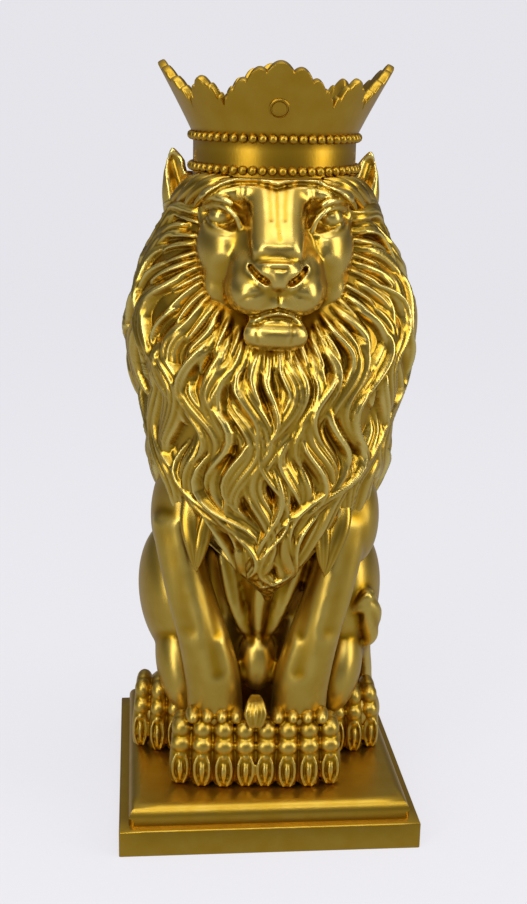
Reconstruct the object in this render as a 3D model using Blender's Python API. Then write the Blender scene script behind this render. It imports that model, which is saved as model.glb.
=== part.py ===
"""A seated lion ornament: a crowned lion cast in resin, its crown, and a stepped plinth."""

import math

import bmesh
import bpy
import numpy as np
from mathutils import Euler, Matrix, Vector

# Driving sizes, in metres. The frame stands on the plinth's underside, at its centre; the lion faces -Y.
PLINTH_WIDTH = 0.127
PLINTH_DEPTH = 0.127
SLAB_THICKNESS = 0.0115
SLAB_EDGE_RADIUS = 0.0008
TIER_MARGIN = 0.004
TIER_THICKNESS = 0.0083
TIER_EDGE_RADIUS = 0.0055
JOINT_GAP = 0.0003

LION_HEIGHT = 0.2562
LION_TURN = math.radians(-3.5)

CROWN_BAND_RADIUS = 0.0328
CROWN_WALL = 0.003
CROWN_BAND_HEIGHT = 0.0145
CROWN_LEAF_HEIGHT = 0.0275
CROWN_FLARE = 0.0145
CROWN_EDGE_RISE = 0.0015
CROWN_CENTRE = (0.0003, -0.008)
BEAD_RADIUS = 0.0019
BEAD_WAIST = 0.45
BEADS_PER_ROW = 54
CROWN_BEAD_CENTRE = 0.0333
LOWER_BEADS_HEIGHT = 0.0025
LEAF_VALLEY = 0.0105
GEM_RADIUS = 0.004
GEM_RAISE = 0.0006
GEM_HEIGHT = 0.026
SEAT_CLEARANCE = 0.0006
SEAT_BOSS_HEIGHT = 0.006

# The carver's unit: the lion stands this many parts high, from its soles, at SOLE, to the seat of the crown.
PARTS_HIGH = 256.2
SOLE = -2.2
PART = LION_HEIGHT / PARTS_HIGH

PLINTH_HEIGHT = SLAB_THICKNESS + TIER_THICKNESS
LION_FOOT = PLINTH_HEIGHT + JOINT_GAP
CROWN_SEAT = LION_FOOT + LION_HEIGHT
CROWN_FOOT = CROWN_SEAT + JOINT_GAP

# How finely the skin is melted together, in parts, and how many faces the finished lion has.
BLEND_VOXEL = 1.4
BLEND_PASSES = 5
CARVED_VOXEL = 1.1
LOCK_RINGS = 12
LION_FACES = 6400
FACE_CARE = 0.5
CARE_WEIGHT = 0.008

GOLD = (0.55, 0.40, 0.10, 1.0)


def gold_lacquer(name, roughness):
    """Bright gold lacquer over cast resin."""
    material = bpy.data.materials.new(name)
    material.use_nodes = True
    shader = material.node_tree.nodes["Principled BSDF"]
    shader.inputs["Base Color"].default_value = GOLD
    shader.inputs["Metallic"].default_value = 1.0
    shader.inputs["Roughness"].default_value = roughness
    return material


def add_object(name, mesh, material=None):
    """An object for a finished mesh."""
    made = bpy.data.objects.new(name, mesh)
    bpy.context.scene.collection.objects.link(made)
    if material:
        mesh.materials.append(material)
    return made


def mesh_from(name, bm):
    mesh = bpy.data.meshes.new(name)
    bmesh.ops.recalc_face_normals(bm, faces=bm.faces)
    bm.to_mesh(mesh)
    bm.free()
    return mesh


def evaluated_mesh(source, name):
    """The source object's mesh with its modifiers applied. The source is removed."""
    bpy.context.view_layer.update()
    graph = bpy.context.evaluated_depsgraph_get()
    mesh = bpy.data.meshes.new_from_object(source.evaluated_get(graph))
    mesh.name = name
    bpy.data.objects.remove(source)
    return mesh


# Forms: each adds one closed body to a bmesh, in parts of the lion, and a voxel remesh melts them together.


def ball(bm, at, radii, turn=(0, 0, 0), detail=3):
    """An ellipsoid, turned by degrees about X, Y and Z."""
    spin = Euler([math.radians(a) for a in turn]).to_matrix().to_4x4()
    place = Matrix.Translation(at) @ spin @ Matrix.Diagonal((*radii, 1))
    bmesh.ops.create_icosphere(bm, subdivisions=detail, radius=1, matrix=place)


def blank_tube(sides, rings):
    """A unit tube along Z, closed at both ends, to be bent into limbs and locks."""
    bm = bmesh.new()
    first = bmesh.ops.create_circle(bm, cap_ends=True, segments=sides, radius=1)
    top = list({face for vert in first["verts"] for face in vert.link_faces})
    for _ in range(rings - 1):
        grown = bmesh.ops.extrude_face_region(bm, geom=top, use_keep_orig=len(bm.faces) == 1)
        top = [g for g in grown["geom"] if isinstance(g, bmesh.types.BMFace)]
        verts = [g for g in grown["geom"] if isinstance(g, bmesh.types.BMVert)]
        bmesh.ops.translate(bm, verts=verts, vec=(0, 0, 1 / (rings - 1)))
    return mesh_from("blank", bm)


def spline(points, shares):
    """A smooth curve through the points, read at shares from 0 to 1 of its run."""
    points = np.asarray(points, float)
    ends = np.vstack([2 * points[0] - points[1], points, 2 * points[-1] - points[-2]])
    place = np.clip(shares, 0, 1) * (len(points) - 1)
    left = np.minimum(place.astype(int), len(points) - 2)
    t = (place - left)[:, None]
    a, b, c, d = (ends[left + k] for k in range(4))
    return b + 0.5 * t * (c - a + t * (2 * a - 5 * b + 4 * c - d + t * (3 * (b - c) + d - a)))


def bend_tube(bm, blank, path, across, up, half_width, half_height):
    """Bends a copy of the blank along a path. The four others are given at each of the path's points."""
    co = np.empty(len(blank.vertices) * 3)
    blank.vertices.foreach_get("co", co)
    co = co.reshape(-1, 3)
    row = np.rint(co[:, 2] * (len(path) - 1)).astype(int)
    bent = (
        path[row]
        + across[row] * (co[:, 0] * half_width[row])[:, None]
        + up[row] * (co[:, 1] * half_height[row])[:, None]
    )
    piece = blank.copy()
    piece.vertices.foreach_set("co", bent.ravel())
    bm.from_mesh(piece)
    bpy.data.meshes.remove(piece)


def unit(vectors):
    return vectors / np.maximum(np.linalg.norm(vectors, axis=-1, keepdims=True), 1e-9)


def limb(bm, blank, rings, spine, girth, side=(1, 0, 0)):
    """A limb through spine points. girth gives its half width along side, and its half depth, at each."""
    shares = np.linspace(0, 1, rings)
    path = spline(spine, shares)
    half = spline(girth, shares)
    rounding = np.sqrt(np.clip(1 - (2 * shares - 1) ** 16, 0.02, 1))
    along = unit(np.gradient(path, axis=0))
    across = unit(np.asarray(side) - along * (along @ np.asarray(side, float))[:, None])
    up = np.cross(along, across)
    bend_tube(bm, blank, path, across, up, half[:, 0] * rounding, half[:, 1] * rounding)


def stroke(co, path, radius, depth, toward=(0, 1, 0), reach=(-200, -12)):
    """Pushes the skin along a path of (x, z) points seen from the front, most at the path itself.

    It moves only what lies between the two y values of reach. A depth under 0 raises the skin."""
    path = np.asarray(path, float)
    flat = co[:, [0, 2]]
    nearest = np.full(len(co), np.inf)
    for a, b in zip(path[:-1], path[1:]):
        run = b - a
        t = np.clip((flat - a) @ run / max(run @ run, 1e-9), 0, 1)
        nearest = np.minimum(nearest, np.linalg.norm(flat - a - t[:, None] * run, axis=1))
    share = np.clip(1 - (nearest / radius) ** 2, 0, 1) ** 2
    share *= (co[:, 1] > reach[0]) & (co[:, 1] < reach[1])
    co += np.asarray(toward, float) * (depth * share)[:, None]


# Lion, in parts: x to its left, -y to its front, z up from just over its soles.

SIDES = (-1, 1)
# The front legs and paws stand a little to one side of the middle, and the face to the other.
LEG_SHIFT = -2.3
PAW_SHIFT = -2.8
FAN_MIDDLE = -3.2
FACE_SHIFT = 1.0
FACE_MIDDLE = (1, -46, 226)
FACE_REACH = (28, 22, 24)
TUFT_STRANDS = ((0, 0), (5.5, 2.5), (-5, 2))

# The mane's bulk at each height: half width, reach to the front and reach to the back.
MANE_LEVELS = (
    (81, 2, 35, -27),
    (89, 6.5, 40.5, -14),
    (97, 13, 43, 0),
    (108, 26, 44, 14),
    (118, 38.5, 45, 30),
    (138, 45, 47, 36),
    (154, 44.5, 48, 37),
    (170, 50, 48, 38),
    (188, 54, 46, 38),
    (206, 52, 41, 36),
    (226, 43.5, 33, 33),
    (240, 39, 31, 30),
    (256, 35, 33, 27),
)
MANE_SHIFT = 1.0
MANE_POWER = 0.86

# The face's outline, which the hair grows from: its centre's height, half width, half height, and how much
# narrower it gets to the chin. The hair stops at the temples, at this angle round from the chin.
FACE_CENTRE = 224
FACE_HALF_WIDTH = 30
FACE_HALF_HEIGHT = 32
FACE_NARROWING = 0.4
TEMPLE_ANGLE = math.radians(138)
FRONT_SHARE = 0.66
NAPE_HEIGHT = 247
STREAMS = 38
STREAM_LENGTH = 176
STREAM_STEP = 2


def mane_spread(height):
    """Half width and reach to the front and to the back."""
    table = np.array(MANE_LEVELS, float)
    return [np.interp(height, table[:, 0], table[:, k]) for k in (1, 2, 3)]


def mane_point(azimuth, height):
    """The mane's surface at each azimuth, in radians round from the front, and height."""
    wide, front, back = mane_spread(height)
    s, c = np.sin(azimuth), np.cos(azimuth)
    x = MANE_SHIFT + wide * np.sign(s) * np.abs(s) ** MANE_POWER
    y = -np.where(c > 0, front, back) * np.sign(c) * np.abs(c) ** MANE_POWER
    return np.stack([x, y, np.broadcast_to(height, np.shape(x))], axis=-1)


def mane_normal(azimuth, height):
    step = 0.02
    round_it = mane_point(azimuth + step, height) - mane_point(azimuth - step, height)
    up_it = mane_point(azimuth, height + 1) - mane_point(azimuth, height - 1)
    return unit(np.cross(round_it, up_it))


def mane_core(bm, rings=20, sides=32):
    heights = np.linspace(MANE_LEVELS[0][0], MANE_LEVELS[-1][0], rings)
    tube = blank_tube(sides, rings)
    co = np.empty(len(tube.vertices) * 3)
    tube.vertices.foreach_get("co", co)
    co = co.reshape(-1, 3)
    row = np.rint(co[:, 2] * (rings - 1)).astype(int)
    bent = mane_point(np.arctan2(co[:, 0], -co[:, 1]), heights[row])
    tube.vertices.foreach_set("co", bent.ravel())
    bm.from_mesh(tube)
    bpy.data.meshes.remove(tube)


def flow_lines(count=STREAMS):
    """Streams of hair over the mane, from the face's outline and the nape outwards and down.

    Returns each stream's azimuths and heights, as two arrays of shape (count, steps)."""
    turn = (np.arange(count) + 0.5) / count * 2 - 1
    front = np.abs(turn) < FRONT_SHARE
    angle = turn / FRONT_SHARE * TEMPLE_ANGLE
    narrow = 1 - FACE_NARROWING * np.clip(np.cos(angle), 0, 1)
    x = FACE_HALF_WIDTH * np.sin(angle) * narrow
    height = np.where(front, FACE_CENTRE - FACE_HALF_HEIGHT * np.cos(angle), NAPE_HEIGHT)
    wide = mane_spread(height)[0]
    rim = np.arcsin(np.clip(np.abs(x) / wide, 0, 1) ** (1 / MANE_POWER)) * np.sign(turn)
    nape = np.sign(turn) * (math.radians(62) + (np.abs(turn) - FRONT_SHARE) / (1 - FRONT_SHARE) * math.radians(118))
    azimuth = np.where(front, rim, nape)
    azimuths, heights = [azimuth], [height]
    for _ in range(int(STREAM_LENGTH / STREAM_STEP)):
        point = mane_point(azimuth, height)
        from_face = np.stack([point[:, 0], point[:, 2] - FACE_CENTRE - 2], axis=-1)
        distance = np.linalg.norm(from_face, axis=-1)
        outward = unit(from_face)
        outward[:, 1] = np.minimum(outward[:, 1], np.clip((244 - height) / 20, -0.3, 1))
        pull = np.clip((62 - distance) / 34, 0, 1) * np.where(point[:, 1] < 8, 1, 0)
        gather = np.clip((150 - height) / 55, 0, 1) * np.where(np.abs(azimuth) < 1.3, 1, 0.15)
        inward = -np.sign(azimuth) * gather * 0.7 * np.minimum(np.abs(point[:, 0]) / 14, 1)
        down = np.stack([inward, -np.ones(count)], axis=-1)
        drift = unit(outward * pull[:, None] + down * (1.12 - pull)[:, None])
        across = mane_point(azimuth + 0.01, height) - mane_point(azimuth - 0.01, height)
        radius = np.linalg.norm(across, axis=-1) / 0.02
        azimuth = azimuth + drift[:, 0] * STREAM_STEP / np.maximum(radius, 6)
        height = np.maximum(height + drift[:, 1] * STREAM_STEP, MANE_LEVELS[0][0] + 2)
        azimuths.append(azimuth)
        heights.append(height)
    return np.array(azimuths).T, np.array(heights).T


def lock(bm, blank, rings, azimuth, height, wave, phase, wide, thick, lift):
    """One lock of hair along a stretch of a stream, swaying from side to side, its tip narrow and raised."""
    t = np.linspace(0, 1, rings)
    path = mane_point(azimuth, height)
    normal = mane_normal(azimuth, height)
    across = np.cross(unit(np.gradient(path, axis=0)), normal)
    sway = wave * np.sin(2 * np.pi * (0.9 * t + phase)) * np.minimum(t * 2.5, 1)
    rise = lift * np.sin(np.pi * np.clip(0.1 + t * 0.78, 0, 1)) - 0.75 * thick * np.clip(1 - 3 * t, 0, 1)
    path = path + across * sway[:, None] + normal * rise[:, None]
    across = np.cross(unit(np.gradient(path, axis=0)), normal)
    swell = np.clip(np.sin(np.pi * (0.14 + 0.86 * t) ** 0.85), 0, 1) ** 0.7 + 0.03
    bend_tube(bm, blank, path, across, normal, wide * swell, thick * swell ** 0.6)


# Rows of locks from the face outwards: where the row starts along its stream, then each lock's length, half
# width, thickness and wave, and the streams it skips.
MANE_ROWS = (
    (120, 38, 5.8, 6.0, 4.0, 2),
    (96, 46, 6.4, 7.2, 5.4, 2),
    (71, 50, 6.6, 7.8, 6.2, 2),
    (47, 48, 6.2, 7.4, 5.4, 2),
    (26, 42, 5.6, 6.4, 4.0, 2),
    (9, 34, 4.4, 5.0, 2.6, 2),
    (-2, 22, 2.8, 3.6, 1.2, 1),
)
MANE_SEED = 7


def mane_locks(bm, blank, rings, rows=MANE_ROWS):
    """Rows of locks laid like roof tiles, each row half a stream off the last."""
    chance = np.random.default_rng(MANE_SEED)
    azimuths, heights = flow_lines()
    place = np.arange(azimuths.shape[1]) * STREAM_STEP
    for k, (start, long, wide, thick, wave, skip) in enumerate(rows):
        for s in range(k % skip, len(azimuths), skip):
            size, slide, phase = chance.uniform(0.8, 1.15), chance.uniform(-7, 7), chance.uniform(-0.2, 0.2)
            at = start + slide + long * size * np.linspace(0, 1, rings)
            azimuth, height = np.interp(at, place, azimuths[s]), np.interp(at, place, heights[s])
            lowest = 86 if abs(azimuth[0]) < 1.2 else 108
            if height[-1] < lowest:
                continue
            side = 1 if azimuth[0] > 0 else -1
            narrow = min(1, 0.45 + abs(mane_spread(height[-1])[0]) / 60)
            lock(bm, blank, rings, azimuth, height, side * wave * size * narrow, phase,
                 wide * size * narrow, thick * size, thick * 0.45)


def bib_tips(bm, blank):
    """The mane's ends over the chest: the long point in the middle, and a small one in front of each leg."""
    limb(bm, blank, 12, [(0, -44, 115), (0.8, -45, 102), (-0.2, -43, 92), (-0.4, -39, 83)],
         [(8, 4), (6, 3.6), (3.4, 2.8), (0.5, 0.5)])
    for side in SIDES:
        x = side * 28.5 - 2
        limb(bm, blank, 12, [(x, -38, 126), (x - side, -42.5, 116), (x - side * 2.4, -45, 106), (x - side * 3, -44.6, 95.5)],
             [(5.4, 4), (4.4, 3.2), (2.6, 2.4), (0.4, 0.4)])


def trunk(bm, blank):
    """Chest, back and belly, with the haunches, legs and hocks."""
    limb(
        bm, blank, 12,
        [(0, -8, 152), (0, -2, 118), (0, 9, 84), (0, 18, 50), (0, 24, 14), (0, 24, -2)],
        [(34, 26), (41, 29), (40, 33), (38, 34), (35, 31), (30, 26)],
    )
    ball(bm, (0, -15, 92), (22, 15, 30))
    ball(bm, (LEG_SHIFT, -23, 47), (8.5, 9, 14))
    limb(bm, blank, 12, [(0, -30, 92), (LEG_SHIFT, -29, 76), (LEG_SHIFT, -26, 60)], [(4, 4), (3.4, 4), (2.4, 3)])
    for side in SIDES:
        haunch = 38 if side < 0 else 36.4
        limb(bm, blank, 12, [(side * 17, -24, 100), (side * 11 + LEG_SHIFT, -25, 78), (side * 4 + LEG_SHIFT, -24, 58)],
             [(5, 5), (4, 4.6), (3, 4)])
        ball(bm, (side * 34, -15, 116), (14.5, 22, 27), (0, side * -8, 0))
        ball(bm, (side * haunch, 14, 65), (17.5, 30, 33), (14, side * 7, 0))
        ball(bm, (side * (haunch - 2), -4, 38), (11, 18, 23), (-24, side * 10, 0))
        ball(bm, (side * (haunch + 5), 16, 8), (12, 26, 13))
        ball(bm, (side * (haunch + 7), 4, 12), (12.5, 14, 12.5))
        limb(
            bm, blank, 12,
            [(side * x + LEG_SHIFT, y, z) for x, y, z in
             ((35.5, -25, 124), (33, -29, 98), (28.8, -31.5, 80), (24.2, -32.5, 65), (20.2, -32.5, 49), (18.2, -31, 33),
              (17.6, -28, 8))],
            [(13, 14), (10, 12.5), (10, 11.6), (10.6, 11.2), (11.7, 10.8), (12, 10.6), (13, 11)],
        )


def tail(bm, blank):
    """The tail lies round the left haunch and its tuft curls over the front of the thigh."""
    limb(
        bm, blank, 16,
        [(6, 52, 2.4), (24, 51, 2.4), (42, 42, 3.4), (50, 28, 10), (49, 15, 26), (46.5, 3, 42), (45.5, -5, 52)],
        [(4.5, 4.5), (4.2, 4.2), (4, 4), (3.8, 3.8), (3.8, 3.8), (3.8, 3.8), (4.5, 4.5)],
        side=(0, 0.3, 1),
    )
    for lift, lean in TUFT_STRANDS:
        limb(
            bm, blank, 16,
            [(46, -5, 52 + lift), (48.5, -8, 58 + lift), (48.8 - lean, -12, 66 + lift), (45, -15, 71 + lift * 0.5),
             (40.5 - lean, -15.5, 67)],
            [(3, 2.4), (4.0, 3.4), (4.2, 3.6), (3.4, 2.8), (0.8, 0.8)],
            side=(0.5, 0.8, 0),
        )


def wrist_tuft(bm, blank):
    """The small fan of hair between the wrists, just over the paws."""
    for k in (-1, 0, 1):
        x = FAN_MIDDLE + k * 2.4
        limb(bm, blank, 12, [(x, -37, 38), (x, -43.5, 35), (x + k * 0.4, -45.5, 31), (FAN_MIDDLE + k * 1.2, -45.5, 26)],
             [(1.4, 1.6), (1.9, 2.0), (1.8, 1.8), (0.5, 0.6)])


TOE_PITCH = 9.1
HIND_TOE_PITCH = 7.6
ROOT_PITCH = 6.2


def toe(bm, blank, x, front, top, splay, long, half):
    """One toe: an arched back with two knuckles, a rounded end, and a long almond claw down its front."""
    lean = splay * 0.5
    limb(
        bm, blank, 12,
        [(x - lean, front + long, top - 1), (x - lean, front + 8, top - 1.5), (x, front + 4.4, top * 0.66),
         (x + lean, front + 3.6, top * 0.3), (x + lean, front + 3.6, SOLE - 2)],
        [(half * 0.92, 4.5), (half * 0.96, 4.5), (half, 4.8), (half, 4.4), (half * 0.94, 4)],
    )
    ball(bm, (x - lean * 0.6, front + 5.5, top - 1.5), (half * 0.84, 4.6, 4.4), detail=2)
    ball(bm, (x, front + 2.8, top * 0.64), (half * 0.84, 3.6, 3.8), detail=2)
    limb(
        bm, blank, 12,
        [(x + lean, front + 1.2, top * 0.54), (x + lean, front - 0.9, top * 0.26), (x + lean, front - 0.3, SOLE + 0.8)],
        [(half * 0.34, 2), (half * 0.6, 2.6), (half * 0.22, 1.6)],
    )


def paws(bm, blank):
    """Four toes on each front paw, with their roots at the wrist, and three outer ones on each hind paw."""
    for side in SIDES:
        ball(bm, (side * 18 + LEG_SHIFT, -29, 11), (16, 14, 13))
        for k in range(4):
            x = side * TOE_PITCH * (k + 0.5) + PAW_SHIFT
            splay = side * (k - 1.5) * 0.5
            toe(bm, blank, x, -46 + 0.8 * (k - 1) ** 2, 25 - 0.6 * abs(k - 1.5), splay, 14, TOE_PITCH / 2 + 0.3)
            ball(bm, (side * (18.2 + ROOT_PITCH * (k - 1.5)) + LEG_SHIFT, -38.5, 29), (3.1, 6.4, 3.6), detail=2)
        inner, top = (38, 27.5) if side < 0 else (34.6, 25.5)
        for k in range(3):
            x = side * (inner + HIND_TOE_PITCH * k)
            toe(bm, blank, x, -14.5 + 1.4 * k * k, top - 0.8 * k, side * k * 0.6, 18, HIND_TOE_PITCH / 2 + 0.3)


def head(bm, blank):
    """Skull, brows, cheekbones, bridge, nose, muzzle and chin."""
    ball(bm, (0, -12, 234), (32, 30, 27))
    ball(bm, (0, -25, 247), (28, 18, 13))
    ball(bm, (0, -34, 224), (21, 20, 18))
    limb(
        bm, blank, 12,
        [(FACE_SHIFT, -34, 252), (FACE_SHIFT, -39, 245), (FACE_SHIFT, -46, 237), (FACE_SHIFT, -54, 230),
         (FACE_SHIFT, -60.5, 225)],
        [(14, 8), (12, 8), (10.5, 8), (10.5, 7), (9.5, 5)],
    )
    ball(bm, (FACE_SHIFT, -57.5, 222.8), (11, 8.6, 5.4))
    ball(bm, (FACE_SHIFT, -58, 219.5), (6.5, 8, 6))
    limb(bm, blank, 12, [(x + FACE_SHIFT, y, z) for x, y, z in ((-10.4, -46.5, 197.2), (-6, -48.6, 197), (6, -48.6, 196.8),
                                                                 (10.4, -46.5, 196.8))],
         [(5.2, 9), (6, 10), (6, 10), (5.2, 9)], side=(0, 0, 1))
    ball(bm, (FACE_SHIFT, -49, 205), (10.4, 12, 5))
    for side in SIDES:
        ball(bm, (side * 16 + FACE_SHIFT, -28, 224), (15.4, 18, 20), (0, side * 12, 0))
        ball(bm, (side * 17.5 + FACE_SHIFT, -31, 212), (12, 11, 13))
        ball(bm, (side * 9 + FACE_SHIFT, -38, 248), (7.5, 7, 7))
        ball(bm, (side * 21 + FACE_SHIFT, -33, 247), (10, 9, 4.6), (0, side * 12, side * 18))
        ball(bm, (side * 22 + FACE_SHIFT, -32.5, 230.5), (7.5, 9, 8), (0, 0, side * 20))
        ball(bm, (side * 8.8 + FACE_SHIFT, -52.5, 212.5), (9.8, 11, 9.8), (0, side * -16, 0))
        ball(bm, (side * 9.6 + FACE_SHIFT, -44, 219), (9, 14, 10))


def ears(bm, blank):
    for side in SIDES:
        limb(
            bm, blank, 12,
            [(side * 33, 0, 230), (side * 36.4, -1, 242), (side * 38.4, -2, 253), (side * 41, -2, 265)],
            [(10, 8), (8.6, 6), (6.4, 4.2), (0.9, 0.9)],
        )


def carve_face(co):
    """Eye sockets, furrows, nostrils and mouth, as strokes on the melted forms."""
    middle = FACE_SHIFT
    stroke(co, [(middle, 253), (middle, 238)], 3.4, 1.5)
    stroke(co, [(middle, 216), (middle, 207.5)], 1.8, 1.8)
    stroke(co, [(middle - 8.5, 199), (middle + 8.5, 199)], 2.4, 1.0)
    for side in SIDES:
        x = FACE_SHIFT
        stroke(co, [(side * 16.6 + x, 238.5), (side * 22.4 + x, 239)], 8.5, 4.2)
        stroke(co, [(side * 12.6 + x, 243), (side * 12.4 + x, 234), (side * 14 + x, 226)], 5, 2.6)
        stroke(co, [(side * 4.4 + x, 251), (side * 3.6 + x, 242)], 2, 0.8)
        stroke(co, [(side * 5 + x, 218.4), (side * 9.6 + x, 222)], 2.2, 4.4)
        stroke(co, [(side * 10.5 + x, 228), (side * 13 + x, 222)], 3, 1.6)
        stroke(co, [(x, 207.6), (side * 6 + x, 206), (side * 11.5 + x, 203.4), (side * 14.5 + x, 205)], 2.5, 3.6)
        stroke(co, [(side * 36.6, 242), (side * 37.6, 250), (side * 40.2, 258)], 4.4, 3.2, reach=(-30, 0))


def eyes(bm, blank):
    """Eyeballs under heavy lids that slope down to the inner corners."""
    for side in SIDES:
        x = FACE_SHIFT
        ball(bm, (side * 19.4 + x, -33.2, 238.6), (6.2, 6.6, 5.4), (0, side * 14, side * 24))
        limb(
            bm, blank, 12,
            [(side * 11.6 + x, -42, 232.6), (side * 14.4 + x, -43, 240), (side * 19.2 + x, -40.6, 244.2),
             (side * 24.4 + x, -36, 243.4), (side * 28 + x, -31.5, 240.8)],
            [(1.2, 1.2), (1.5, 1.7), (1.6, 1.9), (1.5, 1.7), (0.9, 0.9)],
            side=(0, 0.3, 1),
        )
        limb(
            bm, blank, 12,
            [(side * 11.8 + x, -42, 232.6), (side * 15.2 + x, -41.5, 233), (side * 20 + x, -38.6, 233.6),
             (side * 24.6 + x, -34.6, 236.6), (side * 27.4 + x, -31.5, 240.2)],
            [(1.0, 1.0), (1.2, 1.5), (1.3, 1.6), (1.2, 1.5), (0.8, 0.8)],
            side=(0, 0.3, 1),
        )


def mesh_points(mesh):
    co = np.empty(len(mesh.vertices) * 3)
    mesh.vertices.foreach_get("co", co)
    return co.reshape(-1, 3)


def to_place(mesh):
    """From parts to metres, turned and stood on the plinth."""
    turn = Matrix.Rotation(LION_TURN, 4, "Z")
    mesh.transform(Matrix.Translation((0, 0, LION_FOOT - SOLE * PART)) @ turn @ Matrix.Scale(PART, 4))


def melted(mesh, voxel, passes):
    """One skin round every form in the mesh, smoothed so that the forms flow together."""
    holder = add_object("melting", mesh)
    remesh = holder.modifiers.new("Melt", "REMESH")
    remesh.mode = "VOXEL"
    remesh.voxel_size = voxel
    if passes:
        soften = holder.modifiers.new("Soften", "SMOOTH")
        soften.factor = 0.5
        soften.iterations = passes
    return evaluated_mesh(holder, "melted")


def lion_skin():
    """The whole lion in parts as one closed skin, before its seat and soles are cut."""
    blank = blank_tube(12, 12)
    bm = bmesh.new()
    trunk(bm, blank)
    head(bm, blank)
    ears(bm, blank)
    mane_core(bm)
    skin = melted(mesh_from("forms", bm), BLEND_VOXEL, BLEND_PASSES)
    co = mesh_points(skin)
    carve_face(co)
    skin.vertices.foreach_set("co", co.ravel())
    bm = bmesh.new()
    bm.from_mesh(skin)
    eyes(bm, blank)
    paws(bm, blank)
    wrist_tuft(bm, blank)
    tail(bm, blank_tube(8, 16))
    bib_tips(bm, blank)
    mane_locks(bm, blank_tube(8, LOCK_RINGS), LOCK_RINGS)
    return melted(mesh_from("carved", bm), CARVED_VOXEL, 1)


def thinned(mesh, faces):
    """The mesh with about this many triangles, kept where the form turns most, and in the face above all."""
    co = mesh_points(mesh)
    holder = add_object("thinning", mesh)
    finer = holder.vertex_groups.new(name="finer")
    near = np.linalg.norm((co - FACE_MIDDLE) / FACE_REACH, axis=1) < 1
    finer.add(np.flatnonzero(near).tolist(), FACE_CARE, "REPLACE")
    thin = holder.modifiers.new("Thin", "DECIMATE")
    thin.ratio = faces / (2 * len(mesh.polygons))
    thin.use_collapse_triangulate = True
    thin.vertex_group = finer.name
    thin.invert_vertex_group = True
    thin.vertex_group_factor = CARE_WEIGHT
    return evaluated_mesh(holder, "thinned")


def outer_skin(mesh):
    """Keeps only the largest skin of the mesh, without the small voids that the melting seals in."""
    bm = bmesh.new()
    bm.from_mesh(mesh)
    skins, seen = [], set()
    for start in bm.verts:
        if start in seen:
            continue
        skin, waiting = [], [start]
        seen.add(start)
        while waiting:
            vert = waiting.pop()
            skin.append(vert)
            for edge in vert.link_edges:
                other = edge.other_vert(vert)
                if other not in seen:
                    seen.add(other)
                    waiting.append(other)
        skins.append(skin)
    largest = max(skins, key=len)
    for skin in skins:
        if skin is not largest:
            bmesh.ops.delete(bm, geom=skin, context="VERTS")
    bm.to_mesh(mesh)
    bm.free()


def combine(mesh, other, operation):
    """The mesh with the other one cut away or joined on. Both are used up."""
    body, tool = add_object("body", mesh), add_object("tool", other)
    join = body.modifiers.new("Join", "BOOLEAN")
    join.operation = operation
    join.solver = "EXACT"
    join.object = tool
    result = evaluated_mesh(body, "joined")
    bpy.data.objects.remove(tool)
    return result


def disc(radius, low, high, centre=(0, 0), sides=48):
    bm = bmesh.new()
    place = Matrix.Translation((*centre, (low + high) / 2))
    bmesh.ops.create_cone(bm, cap_ends=True, segments=sides, radius1=radius, radius2=radius,
                          depth=high - low, matrix=place)
    return mesh_from("disc", bm)


def shade(mesh, angle=None):
    """Smooth shading, or flat where faces meet more sharply than the angle in degrees."""
    for face in mesh.polygons:
        face.use_smooth = True
    if angle is not None:
        mesh.set_sharp_from_angle(angle=math.radians(angle))


def lion():
    """The carved lion with flat soles and a ring-shaped seat for the crown round a low boss."""
    mesh = lion_skin()
    outer_skin(mesh)
    mesh = thinned(mesh, LION_FACES)
    outer_skin(mesh)
    to_place(mesh)
    ground = disc(LION_HEIGHT, -LION_HEIGHT, LION_FOOT, sides=8)
    mesh = combine(mesh, ground, "DIFFERENCE")
    above = disc(CROWN_BEAD_CENTRE + BEAD_RADIUS + SEAT_CLEARANCE, CROWN_SEAT, CROWN_SEAT + LION_HEIGHT, CROWN_CENTRE)
    boss = disc(CROWN_BAND_RADIUS - CROWN_WALL - SEAT_CLEARANCE, 0, CROWN_SEAT + SEAT_BOSS_HEIGHT, CROWN_CENTRE)
    mesh = combine(mesh, combine(above, boss, "DIFFERENCE"), "DIFFERENCE")
    outer_skin(mesh)
    shade(mesh)
    return add_object("lion", mesh, gold_lacquer("lion_lacquer", 0.3))


def plinth():
    """A slab with a narrower tier on it, whose top edge is rounded."""
    bm = bmesh.new()
    size = Matrix.Diagonal((PLINTH_WIDTH, PLINTH_DEPTH, SLAB_THICKNESS, 1))
    bmesh.ops.create_cube(bm, size=1, matrix=Matrix.Translation((0, 0, SLAB_THICKNESS / 2)) @ size)
    arris = [edge for edge in bm.edges]
    bmesh.ops.bevel(bm, geom=arris, offset=SLAB_EDGE_RADIUS, segments=1, affect="EDGES")
    slab = mesh_from("slab", bm)
    bm = bmesh.new()
    width, depth = PLINTH_WIDTH - 2 * TIER_MARGIN, PLINTH_DEPTH - 2 * TIER_MARGIN
    size = Matrix.Diagonal((width, depth, PLINTH_HEIGHT - SLAB_THICKNESS / 2, 1))
    middle = (PLINTH_HEIGHT + SLAB_THICKNESS / 2) / 2
    bmesh.ops.create_cube(bm, size=1, matrix=Matrix.Translation((0, 0, middle)) @ size)
    top = [edge for edge in bm.edges if all(vert.co.z > middle for vert in edge.verts)]
    bmesh.ops.bevel(bm, geom=top, offset=TIER_EDGE_RADIUS, segments=5, affect="EDGES", profile=0.5)
    mesh = combine(slab, mesh_from("tier", bm), "UNION")
    shade(mesh, 30)
    return add_object("plinth", mesh, gold_lacquer("plinth_lacquer", 0.35))


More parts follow.
